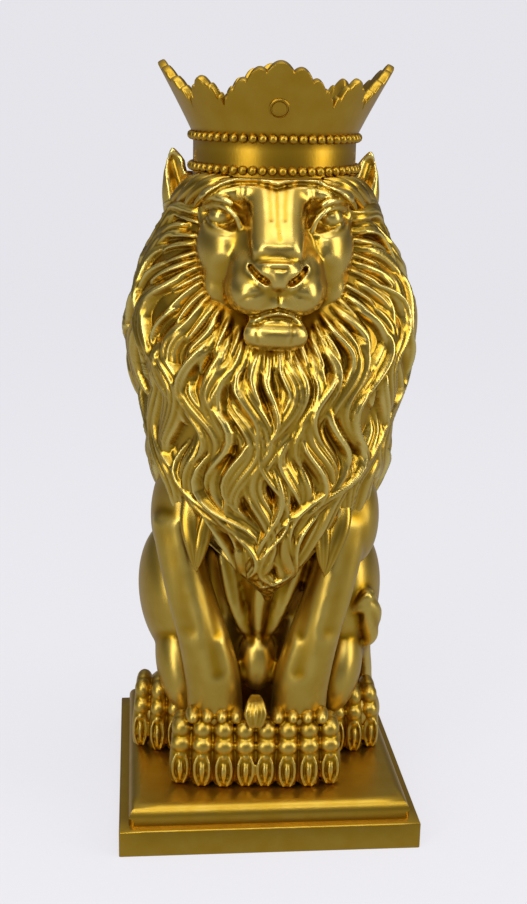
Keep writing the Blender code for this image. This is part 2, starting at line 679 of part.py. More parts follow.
# Lobes of a leaf's scalloped edge, from its middle out: where each one is across half the leaf, its half
# width, how high it stands as a share of the leaf, and how far it falls by its ends.
LARGE_LOBES = ((0, 0.17, 1, 0.13), (0.32, 0.15, 0.87, 0.13), (0.61, 0.13, 0.64, 0.13), (0.82, 0.09, 0.43, 0.13),
               (0.955, 0.065, 0.26, 0.26))
SMALL_LOBES = ((0, 0.3, 0.66, 0.15), (0.42, 0.22, 0.5, 0.16), (0.79, 0.21, 0.28, 0.28))
# Half of a large and of a small leaf, in beads. There are four of each.
LARGE_LEAF_HALF = 4.75
SMALL_LEAF_HALF = 2.0


def leaf_edge(bead):
    """Height of the crown's edge at a place round it, counted in beads from the middle of the front leaf."""
    quarter = BEADS_PER_ROW / 4
    place = (bead + quarter / 2) % quarter - quarter / 2
    share, lobes = abs(place) / LARGE_LEAF_HALF, LARGE_LOBES
    if share > 1:
        share, lobes = (quarter / 2 - abs(place)) / SMALL_LEAF_HALF, SMALL_LOBES
    edge = max(0, *(high - fall * ((share - at) / wide) ** 2 for at, wide, high, fall in lobes))
    return CROWN_BAND_HEIGHT + LEAF_VALLEY + (CROWN_LEAF_HEIGHT - LEAF_VALLEY) * edge


def crown_radius(height):
    """The wall's outside, straight up the band and then flaring."""
    share = max(height - CROWN_BAND_HEIGHT, 0) / CROWN_LEAF_HEIGHT
    return CROWN_BAND_RADIUS + CROWN_FLARE * share ** 1.06


def crown_point(bead, height, grow=0.0, rise=0.0):
    angle = 2 * math.pi * bead / BEADS_PER_ROW
    radius = crown_radius(height) + grow
    return Vector((radius * math.sin(angle), -radius * math.cos(angle), height + rise))


def join_rings(bm, first, second):
    """Faces between two rings of corners, where either may have twice as many as the other."""
    if len(first) > len(second):
        first, second = second, first
    n, twice = len(first), len(second) == 2 * len(first)
    for k in range(n):
        a, b = first[k], first[(k + 1) % n]
        if twice:
            c, d, e = second[2 * k], second[2 * k + 1], second[(2 * k + 2) % (2 * n)]
            for corners in ((a, b, d), (a, d, c), (b, e, d)):
                bm.faces.new(corners)
        else:
            bm.faces.new((a, b, second[(k + 1) % n], second[k]))


def crown_wall():
    """Rings up the outside over both bead rows, along the leaves' edges, down the inside and under.

    The inner edge stands higher than the outer one, so the leaves end square to their slope."""
    bm = bmesh.new()
    beads = [k / 2 for k in range(2 * BEADS_PER_ROW)]
    edges = [k / 4 for k in range(4 * BEADS_PER_ROW)]
    rings = [[crown_point(bead, 0) for bead in beads]]
    for row in (LOWER_BEADS_HEIGHT, CROWN_BAND_HEIGHT):
        rings.append([crown_point(bead, row - BEAD_RADIUS) for bead in beads])
        full = CROWN_BEAD_CENTRE + BEAD_RADIUS - CROWN_BAND_RADIUS
        rings.append([crown_point(bead, row, full if bead % 1 == 0 else full * BEAD_WAIST) for bead in beads])
        rings.append([crown_point(bead, row + BEAD_RADIUS) for bead in beads])
    rings.append([crown_point(bead, leaf_edge(bead)) for bead in edges])
    rings.append([crown_point(bead, leaf_edge(bead), -CROWN_WALL, CROWN_EDGE_RISE) for bead in edges])
    rings.append([crown_point(bead, CROWN_BAND_HEIGHT, -CROWN_WALL) for bead in beads])
    rings.append([crown_point(bead, 0, -CROWN_WALL) for bead in beads])
    rings = [[bm.verts.new(point) for point in ring] for ring in rings]
    for this, after in zip(rings, rings[1:] + rings[:1]):
        join_rings(bm, this, after)
    return mesh_from("wall", bm)


def gem():
    """The small round boss on the front leaf, square to the flaring wall."""
    at, above = crown_point(0, GEM_HEIGHT), crown_point(0, GEM_HEIGHT + 0.004)
    up = (above - at).normalized()
    out = Vector((1, 0, 0)).cross(up)
    if out.y > 0:
        out.negate()
    spin = Matrix((Vector((1, 0, 0)), up, out)).transposed().to_4x4()
    bm = bmesh.new()
    deep = CROWN_WALL * 0.5
    place = Matrix.Translation(at) @ spin @ Matrix.Translation((0, 0, (GEM_RAISE - deep) / 2))
    bmesh.ops.create_cone(bm, cap_ends=True, segments=20, radius1=GEM_RADIUS, radius2=GEM_RADIUS * 0.9,
                          depth=GEM_RAISE + deep, matrix=place)
    return mesh_from("gem", bm)


def crown():
    """An open crown: a band between two rows of beads, flaring into four large and four small leaves."""
    mesh = combine(crown_wall(), gem(), "UNION")
    turn = Matrix.Rotation(LION_TURN, 4, "Z")
    mesh.transform(Matrix.Translation((*CROWN_CENTRE, CROWN_FOOT)) @ turn)
    shade(mesh, 35)
    return add_object("crown", mesh, gold_lacquer("crown_lacquer", 0.35))


for old in list(bpy.data.objects):
    bpy.data.objects.remove(old)
plinth()
lion()
crown()
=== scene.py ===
"""A seated lion ornament with an open crown, cast in resin, lacquered bright gold, on its stepped plinth."""

import math

import bmesh
import bpy
import numpy as np
from mathutils import Euler, Matrix, Vector


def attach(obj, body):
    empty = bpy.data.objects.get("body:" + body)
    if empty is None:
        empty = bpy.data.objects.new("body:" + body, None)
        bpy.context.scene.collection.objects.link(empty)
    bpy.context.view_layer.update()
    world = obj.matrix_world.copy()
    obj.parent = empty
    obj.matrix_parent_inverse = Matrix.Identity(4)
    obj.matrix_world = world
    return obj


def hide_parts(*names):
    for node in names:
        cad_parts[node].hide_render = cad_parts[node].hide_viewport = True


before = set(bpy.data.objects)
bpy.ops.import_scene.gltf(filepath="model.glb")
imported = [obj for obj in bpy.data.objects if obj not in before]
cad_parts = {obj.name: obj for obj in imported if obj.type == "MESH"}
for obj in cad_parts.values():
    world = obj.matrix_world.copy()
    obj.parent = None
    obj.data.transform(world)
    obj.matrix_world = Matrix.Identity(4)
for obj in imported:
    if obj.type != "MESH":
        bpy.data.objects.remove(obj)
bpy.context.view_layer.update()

# Plinth: a cast resin slab with a narrower tier on it, whose top edge is rounded. It is one casting,
# sprayed with gold lacquer, and it stands on its flat underside.

PLINTH_SIDE = 0.127
SLAB_THICKNESS = 0.0115
SLAB_EDGE = 0.0007
TIER_MARGIN = 0.004
TIER_THICKNESS = 0.0083
TIER_ROUND = 0.0055
TIER_SUNK = 0.002
SLAB_CUTS = 11
FOOT_SHADE = 0.0012
PLINTH_HEIGHT = SLAB_THICKNESS + TIER_THICKNESS
# The lacquer's clouds and grain, the same on every piece.
CLOUD_SIZE = 0.009
CLOUDING = 0.22
GRAIN_DEPTH = 0.0001


def linear(code):
    """An sRGB hex colour as linear red, green and blue, and full opacity."""
    shares = [int(code[k:k + 2], 16) / 255 for k in (1, 3, 5)]
    return [s / 12.92 if s <= 0.04045 else ((s + 0.055) / 1.055) ** 2.4 for s in shares] + [1]


def add_node(tree, kind, values=None, links=None, **settings):
    """One node, with its settings, its sockets' values and the links into its sockets."""
    made = tree.nodes.new(kind)
    for name, value in settings.items():
        setattr(made, name, value)
    for socket, value in (values or {}).items():
        made.inputs[socket].default_value = value
    for socket, source in (links or {}).items():
        tree.links.new(source, made.inputs[socket])
    return made


def set_ramp(node, first, last, between):
    """Gives a colour ramp its two end stops and the stops between them, each as (place, colour)."""
    stops = node.color_ramp.elements
    stops[0].position, stops[0].color = first
    stops[1].position, stops[1].color = last
    for place, colour in between:
        stops.new(place).color = colour


def gold_lacquer(name, ridge, body, hollow, smooth, rough, grain_mm, grain, stretch=(1, 1, 1)):
    """Bright metallic lacquer sprayed on cast resin. Its colour holds painted highlight, paler on ridges, and
    painted shade, darker in hollows, as the mesh's stored shade gives them. It clouds a little over several
    millimetres, and keeps the fine grain of the mould and the spray."""
    material = bpy.data.materials.new(name)
    material.use_nodes = True
    tree = material.node_tree
    shader = tree.nodes["Principled BSDF"]
    place = add_node(tree, "ShaderNodeTexCoord").outputs["Object"]
    painted_shade = add_node(tree, "ShaderNodeAttribute", attribute_name="painted_shade").outputs["Fac"]
    noise = add_node(tree, "ShaderNodeTexNoise", {"Scale": 1 / CLOUD_SIZE, "Detail": 4}, {"Vector": place})
    cloud = noise.outputs["Fac"]
    # The stored painted shade, plus the lacquer's random clouding, picks the colour.
    shade_and_clouds = add_node(tree, "ShaderNodeMath", {1: CLOUDING, 2: -CLOUDING / 2}, {0: cloud},
                      operation="MULTIPLY_ADD").outputs[0]
    shade_and_clouds = add_node(tree, "ShaderNodeMath", None, {0: painted_shade, 1: shade_and_clouds}, operation="ADD", use_clamp=True)
    # The ramp runs from the pale ridge colour, a painted highlight, through the lacquer's own colour to the dark
    # hollow colour, a painted shade.
    tone = add_node(tree, "ShaderNodeValToRGB", None, {"Fac": shade_and_clouds.outputs[0]})
    set_ramp(tone, (0, linear(ridge)), (1, linear(hollow)), [(0.42, linear(body))])
    tree.links.new(tone.outputs["Color"], shader.inputs["Base Color"])
    sheen = add_node(tree, "ShaderNodeMapRange", {"To Min": smooth, "To Max": rough}, {"Value": cloud})
    tree.links.new(sheen.outputs[0], shader.inputs["Roughness"])
    drawn = add_node(tree, "ShaderNodeMapping", {"Scale": stretch}, {"Vector": place}).outputs[0]
    fine = add_node(tree, "ShaderNodeTexNoise", {"Scale": 1000 / grain_mm, "Detail": 3}, {"Vector": drawn})
    bump = add_node(tree, "ShaderNodeBump", {"Strength": grain, "Distance": GRAIN_DEPTH},
                    {"Height": fine.outputs["Fac"]})
    tree.links.new(bump.outputs[0], shader.inputs["Normal"])
    shader.inputs["Metallic"].default_value = 1.0
    return material


def mesh_from(name, bm):
    """A mesh from a bmesh, which is used up, with its faces turned outwards."""
    mesh = bpy.data.meshes.new(name)
    bmesh.ops.recalc_face_normals(bm, faces=bm.faces)
    bm.to_mesh(mesh)
    bm.free()
    return mesh


def joined(*meshes):
    """One bmesh that holds a copy of each mesh."""
    bm = bmesh.new()
    for mesh in meshes:
        bm.from_mesh(mesh)
    return bm


def spun(bm, geom, steps):
    """Spins the geometry a full turn round Z, in place."""
    bmesh.ops.spin(bm, geom=geom, axis=(0, 0, 1), cent=(0, 0, 0), steps=steps, angle=2 * math.pi,
                   use_merge=True)


def fill_holes(bm, below=math.inf):
    """Closes the mesh's open ends, or only those lower than below."""
    rims = [edge for edge in bm.edges if edge.is_boundary and edge.verts[0].co.z < below]
    bmesh.ops.holes_fill(bm, edges=rims, sides=0)


def cut_level(bm, level, **settings):
    """Cuts every face that crosses the level."""
    bmesh.ops.bisect_plane(bm, geom=[*bm.verts, *bm.edges, *bm.faces], plane_co=(0, 0, level), **settings)


def add_object(name, held):
    made = bpy.data.objects.new(name, held)
    bpy.context.scene.collection.objects.link(made)
    return made


def mesh_points(mesh):
    co = np.empty(len(mesh.vertices) * 3)
    mesh.vertices.foreach_get("co", co)
    return co.reshape(-1, 3)


def note_painted_shade(mesh, share):
    """Stores painted shade for each point, from 0, lightest, on a ridge to 1, darkest in a hollow, for the
    lacquer's colour to read.
    """
    layer = mesh.attributes.new("painted_shade", "FLOAT", "POINT")
    layer.data.foreach_set("value", np.clip(share, 0, 1).astype(np.float32))


def hollowness(mesh, reach, passes):
    """How far each point lies below its surroundings, as a share of reach, in the mesh's own unit."""
    co = mesh_points(mesh)
    ends = np.empty(len(mesh.edges) * 2, np.int64)
    mesh.edges.foreach_get("vertices", ends)
    a, b = ends.reshape(-1, 2).T
    count = np.bincount(a, minlength=len(co)) + np.bincount(b, minlength=len(co))
    even = co.copy()
    for _ in range(passes):
        total = [np.bincount(a, even[b, k], len(co)) + np.bincount(b, even[a, k], len(co)) for k in range(3)]
        even = (even + np.array(total).T / np.maximum(count, 1)[:, None]) / 2
    normal = np.empty(len(co) * 3)
    mesh.vertices.foreach_get("normal", normal)
    return ((even - co) * normal.reshape(-1, 3)).sum(axis=1) / reach


def finished(name, mesh, material, node, sharp=None):
    """Finishes a piece: shades it smooth, colours it, and has it ride on the part and stand for its solid."""
    for face in mesh.polygons:
        face.use_smooth = True
    if sharp is not None:
        mesh.set_sharp_from_angle(angle=math.radians(sharp))
    mesh.materials.append(material)
    piece = add_object(name, mesh)
    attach(piece, "root")
    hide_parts(node)


def upright_edges(bm, least):
    """The edges that rise by more than least."""
    return [edge for edge in bm.edges if abs(edge.verts[0].co.z - edge.verts[1].co.z) > least]


def slab(width, low, high, round_top, segments, round_sides):
    """A square block with rounded edges, its faces cut finely enough to carry the lacquer's tone."""
    bm = bmesh.new()
    middle = (low + high) / 2
    size = Matrix.Diagonal((width, width, high - low, 1))
    bmesh.ops.create_cube(bm, size=1, matrix=Matrix.Translation((0, 0, middle)) @ size)
    top = [edge for edge in bm.edges if all(vert.co.z > middle for vert in edge.verts)]
    bmesh.ops.bevel(bm, geom=top, offset=round_top, segments=segments, affect="EDGES", profile=0.5, material=-1)
    bmesh.ops.bevel(bm, geom=upright_edges(bm, (high - low) * 0.4), offset=round_sides, segments=2,
                    affect="EDGES", profile=0.5, material=-1)
    long_edges = [edge for edge in bm.edges if edge.calc_length() > width / 3]
    bmesh.ops.subdivide_edges(bm, edges=long_edges, cuts=SLAB_CUTS, use_grid_fill=True)
    return bm


plinth_gold = gold_lacquer("plinth gold lacquer on cast resin", "#dcc268", "#bc9630", "#70480a",
                           0.3, 0.42, 0.5, 0.35, (0.25, 1, 1))
block = slab(PLINTH_SIDE, 0, SLAB_THICKNESS, SLAB_EDGE, 2, SLAB_EDGE)
tier = slab(PLINTH_SIDE - 2 * TIER_MARGIN, SLAB_THICKNESS - TIER_SUNK, PLINTH_HEIGHT, TIER_ROUND, 8,
            TIER_ROUND * 0.4)
block.from_mesh(mesh_from("tier", tier))
plinth_mesh = mesh_from("plinth_visual", block)
plinth_co = mesh_points(plinth_mesh)
# Painted shade: the lacquer darkens in a narrow band round the foot of the tier, where it meets the slab.
on_slab = np.abs(plinth_co[:, :2]).max(axis=1) < PLINTH_SIDE / 2 - TIER_MARGIN * 0.7
tier_foot_shade = np.exp(-(((plinth_co[:, 2] - SLAB_THICKNESS) / FOOT_SHADE) ** 2)) * on_slab
note_painted_shade(plinth_mesh, 0.4 + 0.5 * tier_foot_shade)
finished("plinth_casting", plinth_mesh, plinth_gold, "plinth", 40)

# Lion, body: chest, haunches, legs, paws and tail of the one hollow resin casting, sculpted smooth with soft
# folds at the shoulders. Its toes are long and knuckled, each with an almond claw. It stands on flat soles.
# Its forms are ellipsoids and bent tubes in parts of its own height, melted into one skin.

LION_HEIGHT = 0.2562
LION_TURN = math.radians(-3.5)
LION_FOOT = PLINTH_HEIGHT + 0.0003
PARTS_HIGH = 256.2
SOLE = -2.2
PART = LION_HEIGHT / PARTS_HIGH
SIDES = (-1, 1)
LEG_SHIFT = -2.3
PAW_SHIFT = -2.8
FAN_MIDDLE = -3.2
TOE_PITCH = 9.1
HIND_TOE_PITCH = 7.6
ROOT_PITCH = 6.2
BODY_VOXEL = 1.15
SKIN_VOXEL = 1.01
FOOT_VOXEL = 0.52
TUFT_STRANDS = ((0, 0), (5.5, 2.5), (-5, 2))
FORELEG = ((35.5, -25, 124), (33, -29, 98), (28.8, -31.5, 80), (24.2, -32.5, 65), (20.2, -32.5, 49),
           (18.2, -31, 33), (17.6, -28, 8))
# Soft muscle lines down the shoulders and forearms, and the folds of skin between the legs, as strokes: the
# path seen from the front, its radius and depth, and how far back it works.
LEG_FOLDS = (
    (((43, 124), (38, 108), (33, 92), (30, 70)), 7, 1.6),
    (((31, 112), (26, 92), (21, 72), (17, 50)), 5, 1.2),
    (((24, 104), (20.5, 88), (16.5, 66)), 3.4, 1.6),
    (((9, 92), (6, 72), (3.4, 58)), 3, 1.8, -14),
    (((14, 96), (10, 76), (6.4, 60)), 2.6, 1.6, -14),
)


def ball(bm, at, radii, turn=(0, 0, 0), detail=4):
    """An ellipsoid, turned by degrees about X, Y and Z."""
    spin = Euler([math.radians(a) for a in turn]).to_matrix().to_4x4()
    place = Matrix.Translation(at) @ spin @ Matrix.Diagonal((*radii, 1))
    bmesh.ops.create_icosphere(bm, subdivisions=detail, radius=1, matrix=place)


def blank_tube(sides, rings):
    """A unit tube along Z, closed at both ends, to be bent into limbs and locks."""
    bm = bmesh.new()
    bmesh.ops.create_cone(bm, cap_ends=True, segments=sides, radius1=1, radius2=1, depth=1,
                          matrix=Matrix.Translation((0, 0, 0.5)))
    bmesh.ops.subdivide_edges(bm, edges=upright_edges(bm, 0.5), cuts=rings - 2, use_grid_fill=True)
    return mesh_from("blank", bm)


def spline(points, shares):
    """A smooth curve through the points, read at shares from 0 to 1 of its run."""
    points = np.asarray(points, float)
    ends = np.vstack([2 * points[0] - points[1], points, 2 * points[-1] - points[-2]])
    place = np.clip(shares, 0, 1) * (len(points) - 1)
    left = np.minimum(place.astype(int), len(points) - 2)
    t = (place - left)[:, None]
    a, b, c, d = (ends[left + k] for k in range(4))
    return b + 0.5 * t * (c - a + t * (2 * a - 5 * b + 4 * c - d + t * (3 * (b - c) + d - a)))


def unit(vectors):
    return vectors / np.maximum(np.linalg.norm(vectors, axis=-1, keepdims=True), 1e-9)


def moved(points, by, side=1):
    """The points, mirrored to a side and moved along X."""
    return [(side * x + by, *rest) for x, *rest in points]


def add_bent(bm, blank, bent, painted_shade=None):
    """Adds a copy of the blank whose points lie at bent."""
    piece = blank.copy()
    piece.vertices.foreach_set("co", bent.ravel())
    if painted_shade is not None:
        note_painted_shade(piece, painted_shade)
    bm.from_mesh(piece)
    bpy.data.meshes.remove(piece)


def limb(bm, spine, girth, side=(1, 0, 0), blank=None):
    """A limb through spine points. girth gives its half width along side, and its half depth, at each."""
    co = mesh_points(blank or LIMB_BLANK)
    rings = len(np.unique(np.round(co[:, 2], 4)))
    shares = np.linspace(0, 1, rings)
    path = spline(spine, shares)
    half = spline(girth, shares)
    half *= np.sqrt(np.clip(1 - (2 * shares - 1) ** 16, 0.02, 1))[:, None]
    along = unit(np.gradient(path, axis=0))
    across = unit(np.asarray(side) - along * (along @ np.asarray(side, float))[:, None])
    up = np.cross(along, across)
    row = np.rint(co[:, 2] * (rings - 1)).astype(int)
    bent = path[row] + across[row] * (co[:, :1] * half[row, :1]) + up[row] * (co[:, 1:2] * half[row, 1:])
    add_bent(bm, blank or LIMB_BLANK, bent)


def evaluated_mesh(source):
    """The source object's mesh with its modifiers applied. The source is removed."""
    bpy.context.view_layer.update()
    graph = bpy.context.evaluated_depsgraph_get()
    mesh = bpy.data.meshes.new_from_object(source.evaluated_get(graph))
    bpy.data.objects.remove(source)
    return mesh


def melted(mesh, voxel, passes):
    """One skin round every form in the mesh, smoothed so that the forms flow together."""
    holder = add_object("melting", mesh)
    remesh = holder.modifiers.new("Melt", "REMESH")
    remesh.mode = "VOXEL"
    remesh.voxel_size = voxel
    soften = holder.modifiers.new("Soften", "SMOOTH")
    soften.factor = 0.5
    soften.iterations = passes
    return evaluated_mesh(holder)


def outer_skin(mesh):
    """Keeps only the largest skin of the mesh, without the small voids that the melting seals in."""
    bm = joined(mesh)
    skins, seen = [], set()
    for start in bm.verts:
        if start in seen:
            continue
        skin, waiting = [], [start]
        seen.add(start)
        while waiting:
            vert = waiting.pop()
            skin.append(vert)
            for edge in vert.link_edges:
                other = edge.other_vert(vert)
                if other not in seen:
                    seen.add(other)
                    waiting.append(other)
        skins.append(skin)
    largest = max(skins, key=len)
    for skin in skins:
        if skin is not largest:
            bmesh.ops.delete(bm, geom=skin, context="VERTS")
    bm.to_mesh(mesh)
    bm.free()


def stroke(co, path, radius, depth, until=-12):
    """Pushes the skin back along a path of (x, z) points seen from the front, most at the path itself.

    It moves nothing farther back than until. A depth under 0 raises the skin."""
    path = np.asarray(path, float)
    flat = co[:, [0, 2]]
    nearest = np.full(len(co), np.inf)
    for a, b in zip(path[:-1], path[1:]):
        run = b - a
        t = np.clip((flat - a) @ run / max(run @ run, 1e-9), 0, 1)
        nearest = np.minimum(nearest, np.linalg.norm(flat - a - t[:, None] * run, axis=1))
    share = np.clip(1 - (nearest / radius) ** 2, 0, 1) ** 2
    co[:, 1] += depth * share * np.clip((until - co[:, 1]) / 4, 0, 1)


def strokes(co, rows, by, sides=(1,)):
    """Works rows of strokes on the skin, mirrored to each side and moved along X."""
    for side in sides:
        for path, *rest in rows:
            stroke(co, moved(path, by, side), *rest)


def reshape(mesh, carve):
    """Moves the mesh's points as the function carve moves them."""
    co = mesh_points(mesh)
    carve(co)
    mesh.vertices.foreach_set("co", co.ravel())


def to_place(mesh):
    """From parts to metres, turned and stood on the plinth."""
    turn = Matrix.Rotation(LION_TURN, 4, "Z")
    mesh.transform(Matrix.Translation((0, 0, LION_FOOT - SOLE * PART)) @ turn @ Matrix.Scale(PART, 4))


def trunk(bm):
    """Chest, back and belly, with the haunches, legs and hocks."""
    limb(bm, [(0, -8, 152), (0, -2, 118), (0, 9, 84), (0, 18, 50), (0, 24, 14), (0, 24, -2)],
         [(34, 26), (41, 29), (40, 33), (38, 34), (35, 31), (30, 26)])
    ball(bm, (0, -15, 92), (22, 15, 30))
    ball(bm, (LEG_SHIFT, -23, 47), (8.5, 9, 14))
    limb(bm, [(0, -30, 92), (LEG_SHIFT, -29, 76), (LEG_SHIFT, -26, 60)], [(4, 4), (3.4, 4), (2.4, 3)])
    for side in SIDES:
        haunch = 38 if side < 0 else 36.4
        limb(bm, [(side * 17, -24, 100), (side * 11 + LEG_SHIFT, -25, 78), (side * 4 + LEG_SHIFT, -24, 58)],
             [(5, 5), (4, 4.6), (3, 4)])
        ball(bm, (side * 34, -15, 116), (14.5, 22, 27), (0, side * -8, 0))
        ball(bm, (side * haunch, 14, 65), (17.5, 30, 33), (14, side * 7, 0))
        ball(bm, (side * (haunch - 2), -4, 38), (11, 18, 23), (-24, side * 10, 0))
        ball(bm, (side * (haunch + 5), 16, 8), (12, 26, 13))
        ball(bm, (side * (haunch + 7), 4, 12), (12.5, 14, 12.5))
        limb(bm, moved(FORELEG, LEG_SHIFT, side),
             [(13, 14), (10, 12.5), (10, 11.6), (10.6, 11.2), (11.7, 10.8), (12, 10.6), (13, 11)])


def tail(bm, blank):
    """The tail lies round the left haunch and its tuft curls over the front of the thigh."""
    limb(bm, [(6, 52, 2.4), (24, 51, 2.4), (42, 42, 3.4), (50, 28, 10), (49, 15, 26), (46.5, 3, 42),
              (45.5, -5, 52)],
         [(4.5, 4.5), (4.2, 4.2), (4, 4), (3.8, 3.8), (3.8, 3.8), (3.8, 3.8), (4.5, 4.5)], (0, 0.3, 1), blank)
    for lift, lean in TUFT_STRANDS:
        limb(bm, [(46, -5, 52 + lift), (48.5, -8, 58 + lift), (48.8 - lean, -12, 66 + lift),
                  (45, -15, 71 + lift * 0.5), (40.5 - lean, -15.5, 67)],
             [(3, 2.4), (4, 3.4), (4.2, 3.6), (3.4, 2.8), (0.8, 0.8)], (0.5, 0.8, 0), blank)


def wrist_tuft(bm):
    """The small fan of hair between the wrists, just over the paws."""
    for k in (-2, -1, 0, 1, 2):
        x = FAN_MIDDLE + k * 1.5
        limb(bm, [(FAN_MIDDLE + k * 0.7, -38, 38), (x, -44 + 0.5 * abs(k), 35),
                  (x + k * 0.3, -46 + 0.6 * abs(k), 31), (FAN_MIDDLE + k * 0.9, -46, 25.6)],
             [(0.6, 0.9), (1.15, 1.6), (1.1, 1.6), (0.4, 0.5)])


def toe(bm, x, front, top, splay, long, half):
    """One toe: an arched back with two knuckles, and a long almond claw with a raised outline."""
    lean = splay * 0.5
    limb(bm, [(x - lean, front + long, top - 1), (x - lean, front + 8, top - 1.5), (x, front + 4.4, top * 0.66),
              (x + lean, front + 3.6, top * 0.3), (x + lean, front + 3.6, SOLE - 2)],
         [(half * 0.88, 4.5), (half * 0.9, 4.4), (half * 0.9, 4.4), (half * 0.98, 4.2), (half * 0.94, 4)])
    ball(bm, (x - lean * 0.6, front + 5.3, top - 1.7), (half * 0.92, 4.8, 4.6), detail=3)
    ball(bm, (x, front + 2.4, top * 0.66), (half * 0.92, 3.6, 4), detail=3)
    x += lean
    ball(bm, (x, front + 0.2, top * 0.5), (1.5, 1.3, 1.3), detail=3)
    for edge in (-half, half):
        limb(bm, [(x + edge * 0.3, front + 0.4, top * 0.52), (x + edge * 0.62, front - 0.4, top * 0.36),
                  (x + edge * 0.6, front - 0.7, top * 0.14), (x + edge * 0.22, front - 0.7, SOLE + 0.6)],
             [(0.6, 0.8), (0.7, 0.9), (0.7, 0.9), (0.6, 0.8)])
    limb(bm, [(x, front + 0.4, top * 0.42), (x, front - 1, top * 0.24), (x, front - 0.6, SOLE + 2.2)],
         [(half * 0.14, 0.9), (half * 0.28, 1.3), (half * 0.1, 0.9)])


def paws(bm):
    """Four toes on each front paw, with their roots at the wrist, and three outer ones on each hind paw."""
    for side in SIDES:
        ball(bm, (side * 18 + LEG_SHIFT, -29, 11), (16, 14, 13))
        for k in range(4):
            x = side * TOE_PITCH * (k + 0.5) + PAW_SHIFT
            splay = side * (k - 1.5) * 0.5
            toe(bm, x, -46 + 0.8 * (k - 1) ** 2, 25 - 0.6 * abs(k - 1.5), splay, 14, TOE_PITCH / 2 + 0.3)
            root = side * (18.2 + ROOT_PITCH * (k - 1.5)) + LEG_SHIFT
            ball(bm, (root, -38.5, 29), (3.1, 6.4, 3.6), detail=3)
        inner, top = (38, 27.5) if side < 0 else (34.6, 25.5)
        for k in range(3):
            x = side * (inner + HIND_TOE_PITCH * k)
            toe(bm, x, -14.5 + 1.4 * k * k, top - 0.8 * k, side * k * 0.6, 18, HIND_TOE_PITCH / 2 + 0.3)


lion_gold = gold_lacquer("lion gold lacquer on cast resin", "#dcc062", "#b48c1e", "#684004",
                         0.32, 0.42, 0.7, 0.12)
mane_gold = gold_lacquer("mane gold lacquer on cast resin", "#f0da84", "#c29c34", "#6c4606",
                         0.24, 0.32, 0.7, 0.06)
LIMB_BLANK = blank_tube(24, 16)
forms = bmesh.new()
trunk(forms)
body = melted(mesh_from("forms", forms), BODY_VOXEL, 9)
reshape(body, lambda co: strokes(co, LEG_FOLDS, LEG_SHIFT, SIDES))
forms = joined(body)
tail(forms, blank_tube(16, 24))
body = melted(mesh_from("body", forms), SKIN_VOXEL, 3)
outer_skin(body)
forms = bmesh.new()
paws(forms)
wrist_tuft(forms)
feet = melted(mesh_from("feet", forms), FOOT_VOXEL, 1)
for name, skin in (("lion_body", body), ("lion_paws", feet)):
    # Painted shade and painted highlight: the colour darkens in the skin's hollows and pales on its ridges.
    note_painted_shade(skin, 0.34 + hollowness(skin, 0.9, 14))
    forms = joined(skin)
    cut_level(forms, SOLE, plane_no=(0, 0, -1), clear_outer=True)
    fill_holes(forms)
    skin = mesh_from(name, forms)
    to_place(skin)
    finished(name, skin, lion_gold, "lion")

# Lion, head: broad brow, heavy-lidded eyes, long bridge, square nose with slanting nostrils, full muzzle and a
# blocky chin, part of the same resin casting. Its skin is left smooth, so the lacquer shines on brows and lids.

FACE_SHIFT = 1.0
SKULL_VOXEL = 1.0
FACE_VOXEL = 0.62
LEDGE = 3.0
SEAT_RADIUS = 36
# Brows, cheeks, temples and muzzle, on both sides: place, half sizes, tilt and spin.
CHEEKS = (
    ((16, -28, 224), (15.4, 18, 20), 12, 0),
    ((17.5, -31, 212), (12, 11, 13), 0, 0),
    ((9, -35.8, 248), (8.5, 7, 6.5), 0, 0),
    ((21, -33, 247.6), (10, 8, 4.6), 10, 18),
    ((22, -32.5, 229.5), (7.5, 9, 7), 0, 20),
    ((20.5, -23, 239), (11, 11, 11), 0, 0),
    ((8.4, -52, 212.4), (10.4, 11, 9.4), -14, 0),
    ((10.5, -45, 212.4), (9.4, 12, 10), 0, 0),
    ((9.6, -44, 219), (9, 14, 10), 0, 0),
)
# The hair's edge over the brow, from one temple to the other: two arches that meet in a dip.
HAIRLINE = (
    (-31, 242), (-28.9, 245.4), (-26.6, 248), (-22.1, 251.2), (-15.4, 253), (-8.8, 253.4), (-3.5, 252.6),
    (-0.2, 251.7), (3, 252.6), (8.4, 253.4), (14.5, 252.8), (19.2, 251.2), (24.2, 249), (28.4, 245.4), (31, 242),
)
MOUTH = ((-12.5, 201.8), (-11.3, 203), (-6.8, 204.1), (-3.2, 206), (0.8, 207), (4.9, 205.8), (8.8, 203.6),
         (12, 202))
# Strokes: eye sockets, the valleys beside the bridge and under the cheekbones, on both sides.
SOCKETS = (
    (((19, 239), (24.5, 239.6)), 7.2, 4.6),
    (((13.6, 243), (13.4, 236), (14.5, 230)), 4.2, 0.8),
    (((14, 231), (14.6, 223)), 6, 1.2),
    (((20.5, 220), (21, 207)), 6, 1.6),
)
# The brow's furrow, the lip's and the nose's, the mouth with the lip under it, and the chin's edges.
MIDDLE_LINES = (
    (((-0.6, 251), (-0.2, 238), (0.6, 233)), 1.1, 0.7),
    (((0.5, 214.6), (0.6, 208)), 1.1, 1),
    (((-1, 222.6), (2.6, 222.5)), 0.9, 0.5),
    *(([(x, z + lift) for x, z in MOUTH], radius, depth, -44)
      for lift, radius, depth in ((0, 1.2, 3.2), (-1.7, 1.1, -0.7), (-3.2, 0.9, 0.9))),
    (((-8, 201.6), (8.6, 201.2)), 1, -0.6, -50),
    (((-7.2, 201), (-6.8, 194)), 0.8, 0.5, -50),
    (((6.4, 200.6), (5.9, 194)), 0.8, 0.5, -50),
)
